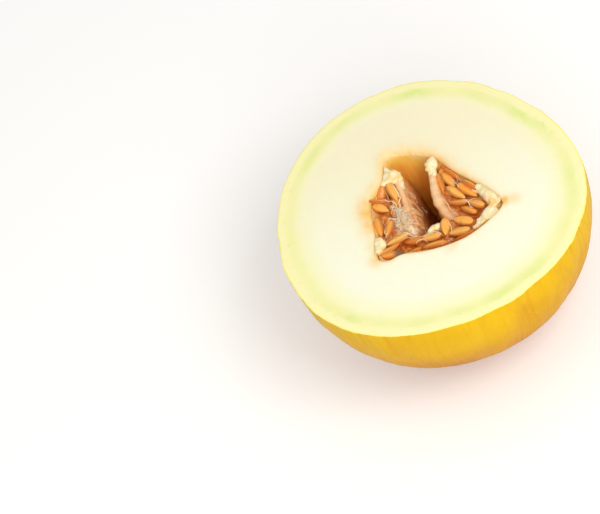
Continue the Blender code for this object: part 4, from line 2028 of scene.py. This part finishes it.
@dataclass
class Studio:
    """The pale floor, the soft lights and the camera."""

    cut_centre: Vector
    azimuth: float = math.radians(11.909)
    elevation: float = math.radians(50.42)
    roll: float = math.radians(26.80)
    photo_width: float = 600.0
    photo_height: float = 514.0
    centre_x: float = 425.89
    centre_y: float = 204.86
    scale: float = 0.4791 * MM
    lens_mm: float = 200.0
    sensor_mm: float = 36.0
    farthest: float = 100.0
    floor_size: float = 12.0
    sky: Tint = Tint(255, 254, 252)
    sky_strength: float = 0.65
    softboxes: tuple[Softbox, ...] = (
        Softbox("key", (0.5, -0.5, 0.95), 0.5, 4.8, Tint(255, 253, 248)),
        Softbox("fill", (0.2, -1.1, 0.75), 0.9, 5.4, Tint(255, 252, 246)),
    )

    def camera(self) -> None:
        """Places the camera at the photograph's angle, distance and framing."""
        focus = self.lens_mm / self.sensor_mm * self.photo_width
        sin_a, cos_a = math.sin(self.azimuth), math.cos(self.azimuth)
        sin_e, cos_e = math.sin(self.elevation), math.cos(self.elevation)
        back = Vector((sin_a * cos_e, -cos_a * cos_e, sin_e))
        side = Vector((cos_a, sin_a, 0))
        rise = Vector((-sin_a * sin_e, cos_a * sin_e, cos_e))
        right = side * math.cos(self.roll) - rise * math.sin(self.roll)
        tilted = side * math.sin(self.roll) + rise * math.cos(self.roll)
        facing = Matrix((right, tilted, back)).transposed()
        off_x = self.centre_x - self.photo_width / 2
        off_y = self.photo_height / 2 - self.centre_y
        aim = Vector((off_x, off_y, -focus)).normalized()
        swing = DOWN.rotation_difference(aim)
        data = bpy.data.cameras.new("camera")
        data.lens = self.lens_mm
        data.sensor_width = self.sensor_mm
        data.clip_end = self.farthest
        made = add_object("camera", data)
        made.rotation_mode = "QUATERNION"
        made.rotation_quaternion = facing.to_quaternion() @ swing.inverted()
        made.location = self.cut_centre + back * (focus * self.scale)
        bpy.context.scene.camera = made

    def hang(self, box: Softbox) -> None:
        """Hangs a softbox so that it faces the melon.

        Args:
            box: The softbox.
        """
        data = bpy.data.lights.new(box.name, "AREA")
        data.size = box.size
        data.energy = box.watts
        data.color = box.tint.linear()[:3]
        made = add_object(box.name, data)
        made.location = box.place
        made.rotation_mode = "QUATERNION"
        made.rotation_quaternion = (self.cut_centre - Vector(box.place)).to_track_quat("-Z", "Y")

    def build(self) -> None:
        """Builds the floor, the lights, the surroundings and the camera."""
        half = self.floor_size / 2
        outline = np.array([(-half, -half, 0), (half, -half, 0), (half, half, 0), (-half, half, 0)])
        floor = mesh_object("floor", outline, [(0, 1, 2, 3)])
        floor.data.materials.append(FloorFinish().make())
        world = bpy.data.worlds.new("studio")
        world.use_nodes = True
        sky = world.node_tree.nodes["Background"]
        sky.inputs["Color"].default_value = self.sky.linear()
        sky.inputs["Strength"].default_value = self.sky_strength
        bpy.context.scene.world = world
        bpy.context.scene.view_settings.view_transform = "Standard"
        for box in self.softboxes:
            self.hang(box)
        self.camera()


def attach(piece: bpy.types.Object, *nodes: str, slot: str) -> None:
    """Makes a piece move with the part and stand for its nodes.

    Args:
        piece: The piece.
        *nodes: The nodes that it replaces.
        slot: Not used.
    """
    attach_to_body(piece, BODY)
    if nodes:
        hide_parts(*nodes)
    log.info("%s: %d faces", piece.name, len(piece.data.polygons))


def main() -> None:
    """Builds the dressed melon and its studio."""
    logging.basicConfig(level=logging.INFO, format="%(name)s: %(message)s")
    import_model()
    shape = MelonShape()
    attach(MelonHalf(shape).build(), "melon_half", slot="melon")
    for cluster in (left_cluster(shape), right_cluster(shape), front_cluster(shape)):
        node = cluster.side.value
        pulp = cluster.pulp()
        seeds = cluster.grow_seeds()
        attach(pulp, node, slot=node)
        attach(seeds, slot=node)
        work = bmesh.new()
        work.from_mesh(pulp.data)
        work.from_mesh(seeds.data)
        ground = BVHTree.FromBMesh(work)
        work.free()
        attach(cluster.fibres(ground), slot=node)
    Studio(cut_centre=Vector((0, 0, shape.cut_height()))).build()


if __name__ == "__main__":
    main()
